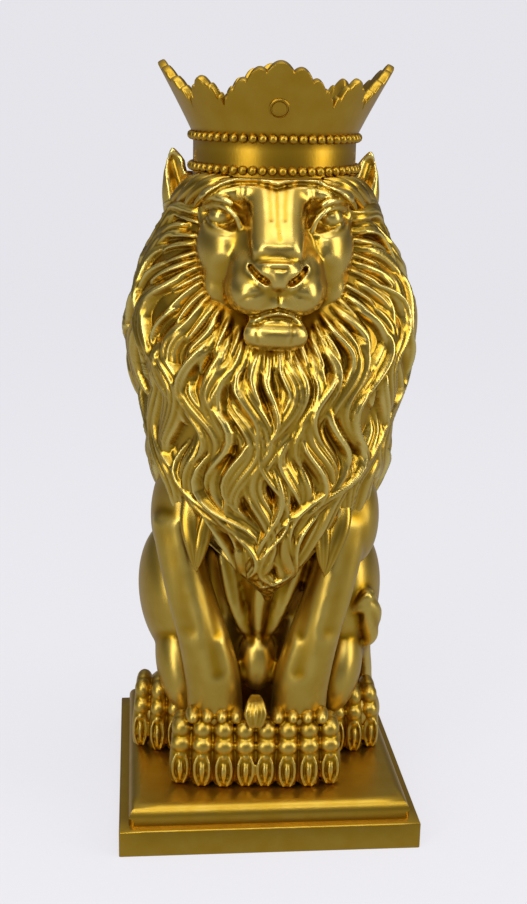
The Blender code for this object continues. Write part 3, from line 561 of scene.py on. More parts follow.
# Furrows beside the bridge and over the eyes, the nostrils' outer rims and the whisker lines, on both sides.
SIDE_LINES = (
    (((3.2, 252), (2.6, 240)), 1.3, 0.5),
    (((12.6, 251), (13.4, 243.5)), 0.7, 0.55),
    (((14.3, 250.5), (14.7, 244.5)), 0.7, 0.55),
    (((16, 250), (16, 246)), 0.7, 0.55),
    (((10.8, 224.2), (11.6, 221)), 1.8, -0.7, -44),
    *((((6 + 2.6 * k, 213.5 - 0.6 * k), (10 + 2 * k, 212 - k)), 0.9, 0.25) for k in range(3)),
)
EAR_HOLLOWS = ((((36.4, 240), (37.6, 248), (40.4, 258)), 4.2, 3.2, 0),)
NOSTRILS = ((-1, ((10, 222.4), (7, 219.6), (3.9, 217.7))), (1, ((10.7, 221.9), (7.7, 218.9), (4.8, 217.2))))
# Upper lid, lower lid, the fold under it and the fold over the eye: spine and half widths.
LIDS = (
    (((13.2, -42.4, 232.8), (15.3, -42.8, 238.8), (19.2, -40.6, 242.7), (24, -35.4, 243.3), (28, -28.6, 240.6)),
     ((0.8, 1), (1, 1.5), (1.15, 1.8), (1, 1.5), (0.6, 0.8))),
    (((13.4, -42.4, 232.8), (16.8, -41.8, 233), (20.2, -40.4, 234), (24.2, -37.4, 235.6), (27.8, -30.6, 239.4)),
     ((0.7, 0.9), (0.85, 1.2), (0.9, 1.3), (0.85, 1.2), (0.5, 0.7))),
    (((14.4, -41.8, 230), (17.6, -41.6, 229.8), (22.6, -40.8, 230.8), (26.6, -36.8, 233.4),
      (28.8, -30.4, 237.6)),
     ((0.5, 0.6), (0.7, 0.8), (0.8, 1), (0.7, 0.8), (0.4, 0.5))),
    (((16.6, -43.4, 243.8), (18.6, -42.4, 245.4), (22, -39.8, 246.2), (25.8, -34.6, 245.2),
      (29.2, -27.8, 241.8)),
     ((0.8, 0.9), (1.2, 1.3), (1.4, 1.5), (1.1, 1.2), (0.5, 0.6))),
)


def head(bm):
    """Skull, brows, cheeks, bridge, nose, muzzle and the blocky chin."""
    ball(bm, (0, -12, 234), (32, 30, 27))
    ball(bm, (0, -25, 247), (28, 18, 13))
    ball(bm, (0, -34, 224), (21, 20, 18))
    bridge = ((0, -33, 253), (0, -38.5, 246), (0, -46, 237.5), (0, -54, 230.5), (0, -60.5, 225))
    limb(bm, moved(bridge, FACE_SHIFT), [(15, 7), (12.4, 8), (11, 8), (10.4, 7), (9.5, 5)])
    ball(bm, (FACE_SHIFT, -57.5, 221.6), (10.4, 8.6, 4.6))
    ball(bm, (FACE_SHIFT + 0.6, -58.5, 218.6), (5.6, 8, 5.4))
    ball(bm, (FACE_SHIFT + 0.3, -50, 209), (13, 12, 7))
    chin = ((-8, -47, 196.6), (-4.6, -49, 196.2), (4.6, -49, 196), (8, -47, 196.2))
    limb(bm, moved(chin, FACE_SHIFT), [(6.6, 9), (7, 10), (7, 10), (6.6, 9)], (0, 0, 1))
    for side in SIDES:
        for (x, y, z), radii, tilt, spin in CHEEKS:
            ball(bm, (side * x + FACE_SHIFT, y, z), radii, (0, side * tilt, side * spin))


def ears(bm):
    """Leaf-shaped ears, wide at the foot and half behind the crown."""
    for side in SIDES:
        limb(bm, moved([(33, 0, 230), (36.4, -1, 242), (38.4, -2, 253), (41, -2, 265)], 0, side),
             [(10, 7), (8.6, 5.4), (6.4, 3.6), (0.9, 0.9)])


def shape_face(co):
    """The broad hollows, with the bridge's own shallow trough."""
    stroke(co, [(FACE_SHIFT, 252), (FACE_SHIFT, 233)], 7, 0.9)
    strokes(co, SOCKETS, FACE_SHIFT, SIDES)


def carve_face(co):
    """The hair's ledge, then the fine lines on the melted forms."""
    x = co[:, 0] - FACE_SHIFT
    over = np.clip(co[:, 2] - np.interp(x, *np.array(HAIRLINE).T) + 0.5, 0, 1)
    co[:, 1] -= LEDGE * over * (co[:, 1] < -14) * (np.abs(x) < HAIRLINE[-1][0])
    stroke(co, [(along + FACE_SHIFT, height - 1.2) for along, height in HAIRLINE[1:-1]], 1, 0.8)
    strokes(co, MIDDLE_LINES, FACE_SHIFT)
    strokes(co, SIDE_LINES, FACE_SHIFT, SIDES)
    for side, slit in NOSTRILS:
        stroke(co, moved(slit, FACE_SHIFT, side), 1.5, 5, -46)
        stroke(co, moved([(along + 0.4, z - 2.1) for along, z in slit], FACE_SHIFT, side), 1.1, -0.8, -46)
    strokes(co, EAR_HOLLOWS, 0, SIDES)


def eyes(bm):
    """Eyeballs under heavy lids that slope down to the inner corners, over folds, and the nose's top edge."""
    for side in SIDES:
        ball(bm, (side * 20.6 + FACE_SHIFT, -32.8, 239.1), (5.6, 6.6, 5), (0, side * 14, side * 24))
        for spine, girth in LIDS:
            limb(bm, moved(spine, FACE_SHIFT, side), girth, (0, 0.3, 1))
    nose = ((-9.4, -57.5, 223.2), (-4, -63.6, 224.1), (3.6, -63.6, 224.1), (9.4, -57.5, 223.2))
    limb(bm, moved(nose, FACE_SHIFT), [(0.6, 0.8), (0.8, 1.2), (0.8, 1.2), (0.6, 0.8)], (0, 0, 1))


forms = bmesh.new()
head(forms)
ears(forms)
skull = melted(mesh_from("skull", forms), SKULL_VOXEL, 10)
reshape(skull, shape_face)
skull = melted(skull, FACE_VOXEL, 10)
reshape(skull, carve_face)
forms = joined(skull)
eyes(forms)
skull = melted(mesh_from("skull", forms), FACE_VOXEL, 2)
outer_skin(skull)
# Painted shade and painted highlight: the colour darkens in the face's hollows and pales on its ridges.
note_painted_shade(skull, 0.34 + hollowness(skull, 0.8, 10))
forms = joined(skull)
# The crown's seat: the skin is cut round just below it, and what stands over it there is laid flat.
seat = PARTS_HIGH + SOLE
cut_level(forms, seat - 0.2, plane_no=(0, 0, 1))
for vert in forms.verts:
    if vert.co.z > seat - 0.1 and math.hypot(vert.co.x, vert.co.y + 8) < SEAT_RADIUS:
        vert.co.z = seat - 0.1
skull = mesh_from("lion_head", forms)
to_place(skull)
finished("lion_head", skull, mane_gold, "lion")

# Lion, mane: long S-shaped locks in overlapping rows that run from the face and the nape out and down, and
# meet in a point on the chest. They stand out of one resin skin, as a mould leaves them, grooved into strands.
# Part of the same casting, made here as a front and a back half that meet behind the ears.

# Heights, then the mane's half width and its reach to the front and to the back.
MANE_LEVELS = (
    (80, 1.5, 36, -27),
    (89, 6.5, 40.5, -14),
    (97, 12, 43, 0),
    (108, 25, 44, 14),
    (118, 38, 45, 30),
    (138, 45, 47, 36),
    (154, 44.5, 48, 37),
    (170, 50, 48, 38),
    (188, 54, 46, 38),
    (206, 52, 41, 36),
    (226, 43.5, 33, 33),
    (240, 39, 31, 30),
    (253, 35.5, 33, 27),
)
LEVEL_BLEND = 4
MANE_SHIFT = 1.0
MANE_POWER = 0.86
FACE_CENTRE = 224
FACE_HALF_WIDTH = 30
FACE_HALF_HEIGHT = 32
FACE_NARROWING = 0.2
ROOT_SHARE = 0.9
TEMPLE_ANGLE = math.radians(138)
FRONT_SHARE = 0.66
NAPE_HEIGHT = 247
STREAMS = 38
FINE_STREAMS = 84
STREAM_LENGTH = 176
STREAM_STEP = 2
WAVE_LENGTH = 46
MANE_SEED = 7
# Rows of locks from the face outwards: where the row starts along its stream, then each lock's length, half
# width, thickness and wave, and the streams it skips.
MANE_ROWS = (
    (124, 46, 6.0, 4.2, 4.0, 2),
    (100, 56, 6.8, 5.0, 5.6, 2),
    (75, 62, 7.2, 5.4, 6.2, 2),
    (50, 60, 6.8, 5.2, 5.6, 2),
    (28, 52, 6.0, 4.6, 5.4, 2),
    (10, 42, 4.8, 3.8, 4.4, 2),
)
# Finer strands between and over them, in the same terms.
STRAND_ROWS = (
    (112, 40, 2.2, 5.2, 5.2, 3),
    (86, 46, 2.4, 6.0, 6.4, 3),
    (60, 46, 2.4, 6.0, 6.8, 3),
    (36, 40, 2.2, 5.4, 5.4, 3),
    (18, 34, 2.3, 4.8, 4.6, 3),
    (6, 28, 2.0, 3.8, 3.2, 2),
    (0, 20, 1.5, 2.8, 1.6, 1),
)
LOCK_RINGS = 26
STRAND_RINGS = 14
ROOT_FLOOR = 3.4
MANE_SEAM = math.radians(102)
# Columns worked out past each end of a half, so that both halves are evened alike at the seam.
SPARE_COLUMNS = 16
MANE_ROWS_UP = 305
FRONT_COLUMNS = 296
BACK_COLUMNS = 188


def blended_levels():
    """The levels at every part of height, smoothed so that no step shows in the shine."""
    table = np.array(MANE_LEVELS, float)
    heights = np.arange(table[0, 0], table[-1, 0] + 0.5)
    reach = 3 * LEVEL_BLEND
    weights = np.exp(-0.5 * (np.arange(-reach, reach + 1) / LEVEL_BLEND) ** 2)
    weights /= weights.sum()
    rough = [np.interp(heights, table[:, 0], table[:, k]) for k in (1, 2, 3)]
    wider = [np.pad(spread, reach, mode="reflect", reflect_type="odd") for spread in rough]
    return heights, [np.convolve(spread, weights, "valid") for spread in wider]


LEVEL_HEIGHTS, LEVEL_SPREADS = blended_levels()


def mane_spread(height):
    """Half width and reach to the front and to the back."""
    return [np.interp(height, LEVEL_HEIGHTS, spread) for spread in LEVEL_SPREADS]


def mane_point(azimuth, height):
    """The mane's surface at each azimuth, in radians round from the front, and height."""
    wide, front, back = mane_spread(height)
    s, c = np.sin(azimuth), np.cos(azimuth)
    x = MANE_SHIFT + wide * np.sign(s) * np.abs(s) ** MANE_POWER
    y = -np.where(c > 0, front, back) * np.sign(c) * np.abs(c) ** MANE_POWER
    return np.stack([x, y, np.broadcast_to(height, np.shape(x))], axis=-1)


def mane_normal(azimuth, height):
    step = 0.02
    round_it = mane_point(azimuth + step, height) - mane_point(azimuth - step, height)
    up_it = mane_point(azimuth, height + 1) - mane_point(azimuth, height - 1)
    return unit(np.cross(round_it, up_it))


def outside_face(x, height):
    """How far a place seen from the front lies outside the face's outline, under 0 inside it."""
    across, below = x / FACE_HALF_WIDTH, (FACE_CENTRE - height) / FACE_HALF_HEIGHT
    narrow = 1 - FACE_NARROWING * np.clip(below / np.maximum(np.hypot(across, below), 1e-6), 0, 1)
    return (np.hypot(across / narrow, below) - 1) * FACE_HALF_WIDTH


def flow_lines(count):
    """Streams of hair over the mane, from the face's outline and the nape outwards and down.

    Returns each stream's azimuths and heights, as two arrays of shape (count, steps)."""
    turn = (np.arange(count) + 0.5) / count * 2 - 1
    front = np.abs(turn) < FRONT_SHARE
    angle = turn / FRONT_SHARE * TEMPLE_ANGLE
    narrow = ROOT_SHARE * (1 - FACE_NARROWING * np.clip(np.cos(angle), 0, 1))
    x = FACE_HALF_WIDTH * np.sin(angle) * narrow
    height = np.where(front, FACE_CENTRE - ROOT_SHARE * FACE_HALF_HEIGHT * np.cos(angle), NAPE_HEIGHT)
    wide = mane_spread(height)[0]
    rim = np.arcsin(np.clip(np.abs(x) / wide, 0, 1) ** (1 / MANE_POWER))
    nape = math.radians(62) + (np.abs(turn) - FRONT_SHARE) / (1 - FRONT_SHARE) * math.radians(118)
    azimuth = np.where(front, rim, nape) * np.sign(turn)
    azimuths, heights = [azimuth], [height]
    for _ in range(int(STREAM_LENGTH / STREAM_STEP)):
        point = mane_point(azimuth, height)
        from_face = np.stack([point[:, 0], point[:, 2] - FACE_CENTRE - 2], axis=-1)
        distance = np.linalg.norm(from_face, axis=-1)
        outward = unit(from_face)
        outward[:, 1] = np.minimum(outward[:, 1], np.clip((244 - height) / 20, -0.3, 1))
        pull = np.clip((62 - distance) / 34, 0, 1) * np.where(point[:, 1] < 8, 1, 0)
        gather = np.clip((150 - height) / 55, 0, 1) * np.where(np.abs(azimuth) < 1.3, 1, 0.15)
        inward = -np.sign(azimuth) * gather * 0.7 * np.minimum(np.abs(point[:, 0]) / 14, 1)
        down = np.stack([inward, -np.ones(count)], axis=-1)
        drift = unit(outward * pull[:, None] + down * (1.12 - pull)[:, None])
        across = mane_point(azimuth + 0.01, height) - mane_point(azimuth - 0.01, height)
        radius = np.linalg.norm(across, axis=-1) / 0.02
        azimuth = azimuth + drift[:, 0] * STREAM_STEP / np.maximum(radius, 6)
        height = np.maximum(height + drift[:, 1] * STREAM_STEP, MANE_LEVELS[0][0] + 2)
        azimuths.append(azimuth)
        heights.append(height)
    return np.array(azimuths).T, np.array(heights).T


def swelling(t):
    """How wide a lock is along its run: full near its root, then narrowing to a point."""
    return np.clip(np.sin(np.pi * (0.14 + 0.86 * t) ** 0.85), 0, 1) ** 0.7 + 0.03


def mane_locks(rows, streams, rings, strand_width, depth):
    """Rows of locks laid like roof tiles, each row off the last. They all sway with the same waves, which drift
    slowly from stream to stream, so that neighbours nest in one another's bends.

    Each lock is its path, the direction across it, half widths, heights, lifts, and how it is grooved."""
    chance = np.random.default_rng(MANE_SEED)
    azimuths, heights = flow_lines(streams)
    place = np.arange(azimuths.shape[1]) * STREAM_STEP
    t = np.linspace(0, 1, rings)
    locks = []
    for k, (start, long, wide, thick, wave, skip) in enumerate(rows):
        for s in range(k % skip, streams, skip):
            size, slide, shift = chance.uniform(0.78, 1.2), chance.uniform(-8, 8), chance.uniform(-0.8, 0.8)
            warp, drift, tilt = chance.uniform(0, np.pi), chance.uniform(-0.25, 0.25), chance.uniform(-0.5, 0.5)
            first = max(start + slide, 0)
            at = first + (min(first + long * size, place[-1]) - first) * t
            azimuth, height = (np.interp(at, place, lines[s]) for lines in (azimuths, heights))
            from_middle = abs(mane_point(azimuth, height)[-1, 0])
            lowest = 84 + 1.15 * from_middle if abs(azimuth[0]) < 1.2 else 106
            if height[-1] < lowest:
                keep = np.searchsorted(-height, -lowest)
                if keep < 0.5 * rings:
                    continue
                at = np.linspace(at[0], at[keep - 1], rings)
                azimuth, height = (np.interp(at, place, lines[s]) for lines in (azimuths, heights))
            turn = (s + 0.5) / streams * 2 - 1
            narrow = min(1, 0.4 + abs(mane_spread(height[-1])[0]) / 55)
            bends = 2 * np.pi * at / WAVE_LENGTH + 2.4 * math.sin(4.3 * turn)
            bends = bends + 0.9 * math.sin(11 * turn + 1) + shift
            sway = wave * narrow * np.sin(bends) * np.clip(at / 18, 0, 1)
            path, normal = mane_point(azimuth, height), mane_normal(azimuth, height)
            path = path + np.cross(unit(np.gradient(path, axis=0)), normal) * sway[:, None]
            across = np.cross(unit(np.gradient(path, axis=0)), normal)
            half = wide * size * narrow * swelling(t)
            high = thick * size * swelling(t) ** 0.6
            lift = -3.5 * np.clip(1 - 4 * t, 0, 1) + 1.6 * np.clip(t / 0.8, 0, 1)
            strands = max(1, round(2 * wide * size * narrow / strand_width))
            locks.append((path, across, half, high, lift, strands, warp, drift, tilt, depth))
    return locks


def hair_height(points, ground, locks):
    """How far the hair stands out at each point, and how much of that is the ridge of a strand."""
    stands, ridges = ground.copy(), np.zeros(len(points))
    for path, across, half, high, lift, strands, warp, drift, tilt, depth in locks:
        reach = half.max() + 0.6
        inside = (points > path.min(axis=0) - reach) & (points < path.max(axis=0) + reach)
        near = np.flatnonzero(inside.all(axis=1))
        if not len(near):
            continue
        spot, run = points[near], np.diff(path, axis=0)
        t = np.clip(((spot[:, None] - path[:-1]) * run).sum(axis=2) / (run ** 2).sum(axis=1), 0, 1)
        away = spot[:, None] - path[:-1] - t[:, :, None] * run
        gap = (away ** 2).sum(axis=2)
        k = gap.argmin(axis=1)
        row = np.arange(len(near))
        share = (k + t[row, k]) / len(run)
        side = (away[row, k] * across[k]).sum(axis=1)
        past_end = np.sqrt(np.maximum(gap[row, k] - side ** 2, 0)) > 1.6
        steps = np.linspace(0, 1, len(path))
        u = np.clip(side / np.interp(share, steps, half), -1, 1)
        bend = u + 0.1 * np.sin(np.pi * u + warp) + drift * (share - 0.4)
        ridge = np.abs(np.cos(np.pi * strands * bend / 2 + warp)) ** 0.7
        dome = (1 - np.abs(u) ** 2.3) ** 0.6
        rise = ground[near] + np.interp(share, steps, lift) - 0.8
        rise += np.interp(share, steps, high) * dome * (1 + tilt * u - depth * (1 - ridge))
        rise[past_end | (np.abs(u) >= 1)] = -99
        better = rise > stands[near]
        stands[near[better]] = rise[better]
        ridges[near[better]] = ridge[better]
    return stands, ridges


def evened(grid, passes):
    """The grid, each value drawn towards its neighbours' mean."""
    for _ in range(passes):
        wider = np.pad(grid, 1, mode="edge")
        grid = 0.5 * grid + 0.125 * (wider[:-2, 1:-1] + wider[2:, 1:-1] + wider[1:-1, :-2] + wider[1:-1, 2:])
    return grid


def mane_half(bm, first, last, columns, locks):
    """The skin from one azimuth round to another, carved into locks, closed through the middle of the mane."""
    fine = np.linspace(first - 0.8, last + 0.8, 3000)
    run = np.linalg.norm(np.diff(mane_point(fine, 180), axis=0), axis=1)
    run = np.concatenate([[0], np.cumsum(run)])
    start, end = np.interp([first, last], fine, run)
    places = start + (end - start) * np.arange(-SPARE_COLUMNS, columns - 1 + SPARE_COLUMNS) / (columns - 2)
    azimuth, height = np.meshgrid(np.interp(places, run, fine),
                                  np.linspace(MANE_LEVELS[0][0], MANE_LEVELS[-1][0], MANE_ROWS_UP))
    skin = mane_point(azimuth, height)
    wide, front, back = mane_spread(height)
    deep = np.maximum(np.where(np.cos(azimuth) > 0, front, back), 12)
    outward = unit(np.stack([np.sin(azimuth) / wide, -np.cos(azimuth) / deep, np.zeros_like(height)], axis=-1))
    off = np.where(skin[..., 1] < 8, outside_face(skin[..., 0] - FACE_SHIFT, height), 20)
    ground = np.clip(off / 18, 0, 1) * ROOT_FLOOR - 3 * np.clip(-off / 8, 0, 1)
    stands, ridges = hair_height(skin.reshape(-1, 3), ground.ravel(), locks)
    stands = evened(stands.reshape(height.shape), 1)
    stands *= np.clip((256 - height) / 9, 0, 1) ** 0.7 * np.clip((height - 74) / 20, 0.2, 1)
    hollow = evened(stands, 14) - stands
    # Painted shade in the hollows between locks and along the face's edge, and painted highlight on the strands'
    # ridges.
    shade = 0.4 + 0.42 * hollow - 0.1 * (ridges.reshape(height.shape) - 0.5) + 0.25 * np.clip(1 - off / 7, 0, 1)
    kept = slice(SPARE_COLUMNS, -SPARE_COLUMNS)
    surface = (skin + outward * stands[..., None])[:, kept]
    middle = [np.full(MANE_ROWS_UP, MANE_SHIFT), (back[:, 0] - front[:, 0]) / 2, height[:, 0]]
    surface = np.concatenate([surface, np.stack(middle, axis=-1)[:, None]], axis=1)
    shade = np.concatenate([shade[:, kept], np.ones((MANE_ROWS_UP, 1))], axis=1)
    tube = blank_tube(columns, MANE_ROWS_UP)
    co = mesh_points(tube)
    row = np.rint(co[:, 2] * (MANE_ROWS_UP - 1)).astype(int)
    column = np.rint(np.arctan2(co[:, 1], co[:, 0]) / (2 * np.pi / columns)).astype(int) % columns
    ends = column[np.array([edge.vertices[:] for edge in tube.edges])]
    # The shine stops at the seam, where the skin turns in.
    seam = (ends[:, 0] == ends[:, 1]) & np.isin(ends[:, 0], (0, columns - 2))
    tube.edges.foreach_set("use_edge_sharp", seam)
    add_bent(bm, tube, surface[row, column], shade[row, column])


def free_lock(bm, blank, points, middle, wide, thick, strands):
    """A grooved lock along points of its own, its top facing away from middle."""
    co = mesh_points(blank)
    t = np.linspace(0, 1, LOCK_RINGS)
    path = spline(points, t)
    along = unit(np.gradient(path, axis=0))
    normal = path - np.asarray(middle, float)
    normal = unit(normal - along * (normal * along).sum(axis=1)[:, None])
    across = np.cross(along, normal)
    row = np.rint(co[:, 2] * (LOCK_RINGS - 1)).astype(int)
    u, top = co[:, 0], co[:, 1] > -0.01
    ridge = np.abs(np.cos(np.pi * strands * (u + 0.2 * (t[row] - 0.4)) / 2 + wide)) ** 0.6
    rise = np.where(top, 1 - 0.25 * (1 - ridge), -1.8) * np.abs(co[:, 1])
    swell = swelling(t)[row]
    aside, over = u * wide * swell, rise * thick * swell ** 0.6
    bent = path[row] + across[row] * aside[:, None] + normal[row] * over[:, None]
    # Painted shade under the lock and painted highlight on the ridges of its strands.
    add_bent(bm, blank, bent, np.where(top, 0.62 - 0.3 * ridge, 1))


# Locks that sweep from under the crown back over each temple, for the lion's left side, then the small
# points in which the mane ends in front of each leg.
TEMPLE_LOCKS = (
    (((15, -36.4, 252.6), (20.5, -36.4, 251.6), (26, -33.4, 248.8), (30, -28.6, 244.6), (32.4, -24, 240)), 2.2),
    (((17, -35, 253.4), (25, -34, 252), (30.4, -29.6, 248.8), (34, -23.6, 244.4), (36, -19, 239.6)), 2.6),
    (((22, -31, 254), (30, -28.4, 251.6), (35, -22.4, 247.4), (38, -15, 243), (40, -9.5, 237.6)), 2.8),
    (((28, -22, 254), (34.6, -19.4, 250), (39, -12.6, 245.4), (41.6, -5, 240.4), (43.4, 1.5, 234)), 2.8),
)
LEG_POINTS = (
    (((-31.5, -38, 126), (-31, -42.5, 116), (-29.4, -45, 106), (-28.6, -44.6, 95.5)), 4.4),
    (((-24, -43, 122), (-26, -45, 112), (-27.6, -46, 104), (-28.2, -45, 97)), 3.2),
    (((31, -38, 126), (29.5, -42.5, 116), (26.2, -45, 105), (23.8, -44.6, 94)), 4.4),
    (((22, -43, 122), (22.6, -45, 112), (23, -46, 103), (23.4, -45, 95.5)), 3.2),
)
locks = mane_locks(MANE_ROWS, STREAMS, LOCK_RINGS, 2.7, 0.3)
locks += mane_locks(STRAND_ROWS, FINE_STREAMS, STRAND_RINGS, 2.6, 0.25)
lock_blank = blank_tube(24, LOCK_RINGS)
fronts = bmesh.new()
mane_half(fronts, -MANE_SEAM, MANE_SEAM, FRONT_COLUMNS, locks)
for side in SIDES:
    for points, wide in TEMPLE_LOCKS:
        free_lock(fronts, lock_blank, moved(points, FACE_SHIFT, side), (0, 0, 232), wide, 2, 3)
for points, wide in LEG_POINTS:
    free_lock(fronts, lock_blank, points, (points[0][0], 0, 110), wide, 2.4, 4)
backs = bmesh.new()
mane_half(backs, MANE_SEAM, 2 * math.pi - MANE_SEAM, BACK_COLUMNS, locks)
for name, forms in (("lion_mane_front", fronts), ("lion_mane_back", backs)):
    mane = mesh_from(name, forms)
    to_place(mane)
    finished(name, mane, mane_gold, "lion")

# Crown: an open thin-walled resin crown, cast apart and set on the head. A plain band between two rows of beads
# flares into four large and four small scalloped leaves, with one small round boss on the front leaf.

CROWN_BAND_RADIUS = 0.0328
CROWN_WALL = 0.003
CROWN_BAND_HEIGHT = 0.0145
CROWN_LEAF_HEIGHT = 0.0275
CROWN_FLARE = 0.0145
CROWN_EDGE_RISE = 0.0015
CROWN_CENTRE = (0.0003, -0.008)
CROWN_FOOT = LION_FOOT + LION_HEIGHT + 0.0003
BEAD_RADIUS = 0.0019
BEADS_PER_ROW = 54
BEAD_CENTRE = 0.0333
LOWER_BEADS = 0.0025
LEAF_VALLEY = 0.0105
GEM_RADIUS = 0.004
GEM_HEIGHT = 0.026
CORNERS_PER_BEAD = 12
EDGE_ROUND = 0.0009
BAND_SKIN = 0.0006
BEAD_SHADE = 0.0022
# Lobes of a leaf's scalloped edge, from its middle out: where each one is across half the leaf, its half
# width, how high it stands as a share of the leaf, and how far it falls by its ends.
LARGE_LOBES = ((0, 0.17, 1, 0.13), (0.32, 0.15, 0.87, 0.13), (0.61, 0.13, 0.64, 0.13), (0.82, 0.09, 0.43, 0.13),
               (0.955, 0.065, 0.26, 0.26))
SMALL_LOBES = ((0, 0.3, 0.66, 0.15), (0.42, 0.22, 0.5, 0.16), (0.79, 0.21, 0.28, 0.28))
LARGE_LEAF_HALF = 4.75
SMALL_LEAF_HALF = 2.0


def leaf_edge(bead):
    """Height of the crown's edge at a place round it, counted in beads from the middle of the front leaf."""
    quarter = BEADS_PER_ROW / 4
    place = (bead + quarter / 2) % quarter - quarter / 2
    share, lobes = abs(place) / LARGE_LEAF_HALF, LARGE_LOBES
    if share > 1:
        share, lobes = (quarter / 2 - abs(place)) / SMALL_LEAF_HALF, SMALL_LOBES
    edge = max(0, *(high - fall * ((share - at) / wide) ** 2 for at, wide, high, fall in lobes))
    return CROWN_BAND_HEIGHT + LEAF_VALLEY + (CROWN_LEAF_HEIGHT - LEAF_VALLEY) * edge


def crown_radius(height):
    """The wall's outside, straight up the band and then flaring."""
    share = max(height - CROWN_BAND_HEIGHT, 0) / CROWN_LEAF_HEIGHT
    return CROWN_BAND_RADIUS + CROWN_FLARE * share ** 1.06


def crown_point(bead, height, grow=0.0):
    angle = 2 * math.pi * bead / BEADS_PER_ROW
    radius = crown_radius(height) + grow
    return Vector((radius * math.sin(angle), -radius * math.cos(angle), height))


# The crown's section from its foot up the outside, over the edge and down the inside: each corner's height up
# to the valleys between the leaves, then its share of the leaf above them, how far it is moved in from the
# outside and, near the edge, how far it is held below it.
VALLEY_HEIGHT = CROWN_BAND_HEIGHT + 0.96 * LEAF_VALLEY
BEND = 0.3 * EDGE_ROUND
DROP = 0.2 * EDGE_ROUND
WALL_SECTION = (
    *((level, 0, 0, 0) for level in (0, 0.005, 0.01, CROWN_BAND_HEIGHT, 0.0175, 0.021)),
    *((VALLEY_HEIGHT, up, 0, 0) for up in (0, 0.25, 0.5, 0.75)),
    *((VALLEY_HEIGHT, 1, *corner) for corner in ((0, EDGE_ROUND), (BEND, DROP), (EDGE_ROUND, 0))),
    *((VALLEY_HEIGHT, 1, CROWN_WALL - inward, below)
      for inward, below in ((EDGE_ROUND, 0), (BEND, DROP), (0, EDGE_ROUND))),
    *((VALLEY_HEIGHT, up, CROWN_WALL, 0) for up in (0.75, 0.5, 0.25, 0)),
    *((level, 0, CROWN_WALL, 0) for level in (0.021, CROWN_BAND_HEIGHT, 0.007, 0)),
)


def crown_wall():
    """A ring spun from the section, its corners then set between the straight foot and the scalloped edge."""
    bm = bmesh.new()
    corners = [bm.verts.new((0, -1 + 0.01 * k, 0.01 * k)) for k in range(len(WALL_SECTION))]
    edges = [bm.edges.new((corners[k - 1], corners[k])) for k in range(len(corners))]
    spun(bm, corners + edges, BEADS_PER_ROW * CORNERS_PER_BEAD)
    for vert in bm.verts:
        k = round(vert.co.z / 0.01)
        bead = math.atan2(vert.co.x, -vert.co.y) / (2 * math.pi) * BEADS_PER_ROW
        level, up, inward, below = WALL_SECTION[k]
        vert.co = crown_point(bead, level + up * (leaf_edge(bead) - level) - below, -inward)
        vert.co.z += CROWN_EDGE_RISE * inward / CROWN_WALL * up ** 3
    return bm


def crown_beads(bm):
    """Round beads, one beside the next, half sunk in the band."""
    for height in (LOWER_BEADS, CROWN_BAND_HEIGHT):
        for k in range(BEADS_PER_ROW):
            at = crown_point(k + 0.5, height, BEAD_CENTRE - CROWN_BAND_RADIUS)
            ball(bm, at, [BEAD_RADIUS * 1.02] * 3, detail=2)


def crown_gem(bm):
    """The boss, with a turned groove round a low dome, square to the flaring wall."""
    at, above = crown_point(0, GEM_HEIGHT), crown_point(0, GEM_HEIGHT + 0.004)
    up = (above - at).normalized()
    out = Vector((0, -up.z, up.y))
    if out.y > 0:
        out.negate()
    spin = Matrix((Vector((1, 0, 0)), up, out)).transposed().to_4x4()
    boss = bmesh.new()
    profile = ((0, 0.75), (0.5, 0.7), (0.68, 0.58), (0.74, 0.1), (0.82, 0.1), (0.88, 0.6), (0.96, 0.5),
               (1, 0.2), (1, -1))
    line = [boss.verts.new((GEM_RADIUS * r, 0, 0.001 * z)) for r, z in profile]
    run = [boss.edges.new(pair) for pair in zip(line, line[1:])]
    spun(boss, line + run, 48)
    bmesh.ops.remove_doubles(boss, verts=boss.verts, dist=1e-6)
    fill_holes(boss)
    bmesh.ops.transform(boss, matrix=Matrix.Translation(at) @ spin, verts=boss.verts)
    bm.from_mesh(mesh_from("gem", boss))


crown_gold = gold_lacquer("crown satin gold lacquer on cast resin", "#dabb58", "#b89028", "#6a4406",
                          0.28, 0.4, 0.5, 0.3, (1, 1, 0.2))
ring = crown_wall()
crown_beads(ring)
crown_gem(ring)
crown_mesh = mesh_from("crown_visual", ring)
crown_co = mesh_points(crown_mesh)
# Painted shade on the band, darkest right beside the two rows of beads.
on_band = abs(np.hypot(crown_co[:, 0], crown_co[:, 1]) - CROWN_BAND_RADIUS) < BAND_SKIN
from_row = np.minimum(abs(crown_co[:, 2] - LOWER_BEADS), abs(crown_co[:, 2] - CROWN_BAND_HEIGHT))
note_painted_shade(crown_mesh, 0.36 + 0.6 * np.exp(-((from_row / BEAD_SHADE) ** 2)) * on_band)
crown_mesh.transform(Matrix.Translation((*CROWN_CENTRE, CROWN_FOOT)) @ Matrix.Rotation(LION_TURN, 4, "Z"))
finished("crown_casting", crown_mesh, crown_gold, "crown", 50)

# Studio: a pale round floor that sweeps up into a wall on every side, two tall soft boxes in front, a soft
# light overhead and a long one high in front, a dim room for the lacquer to mirror, and the camera.

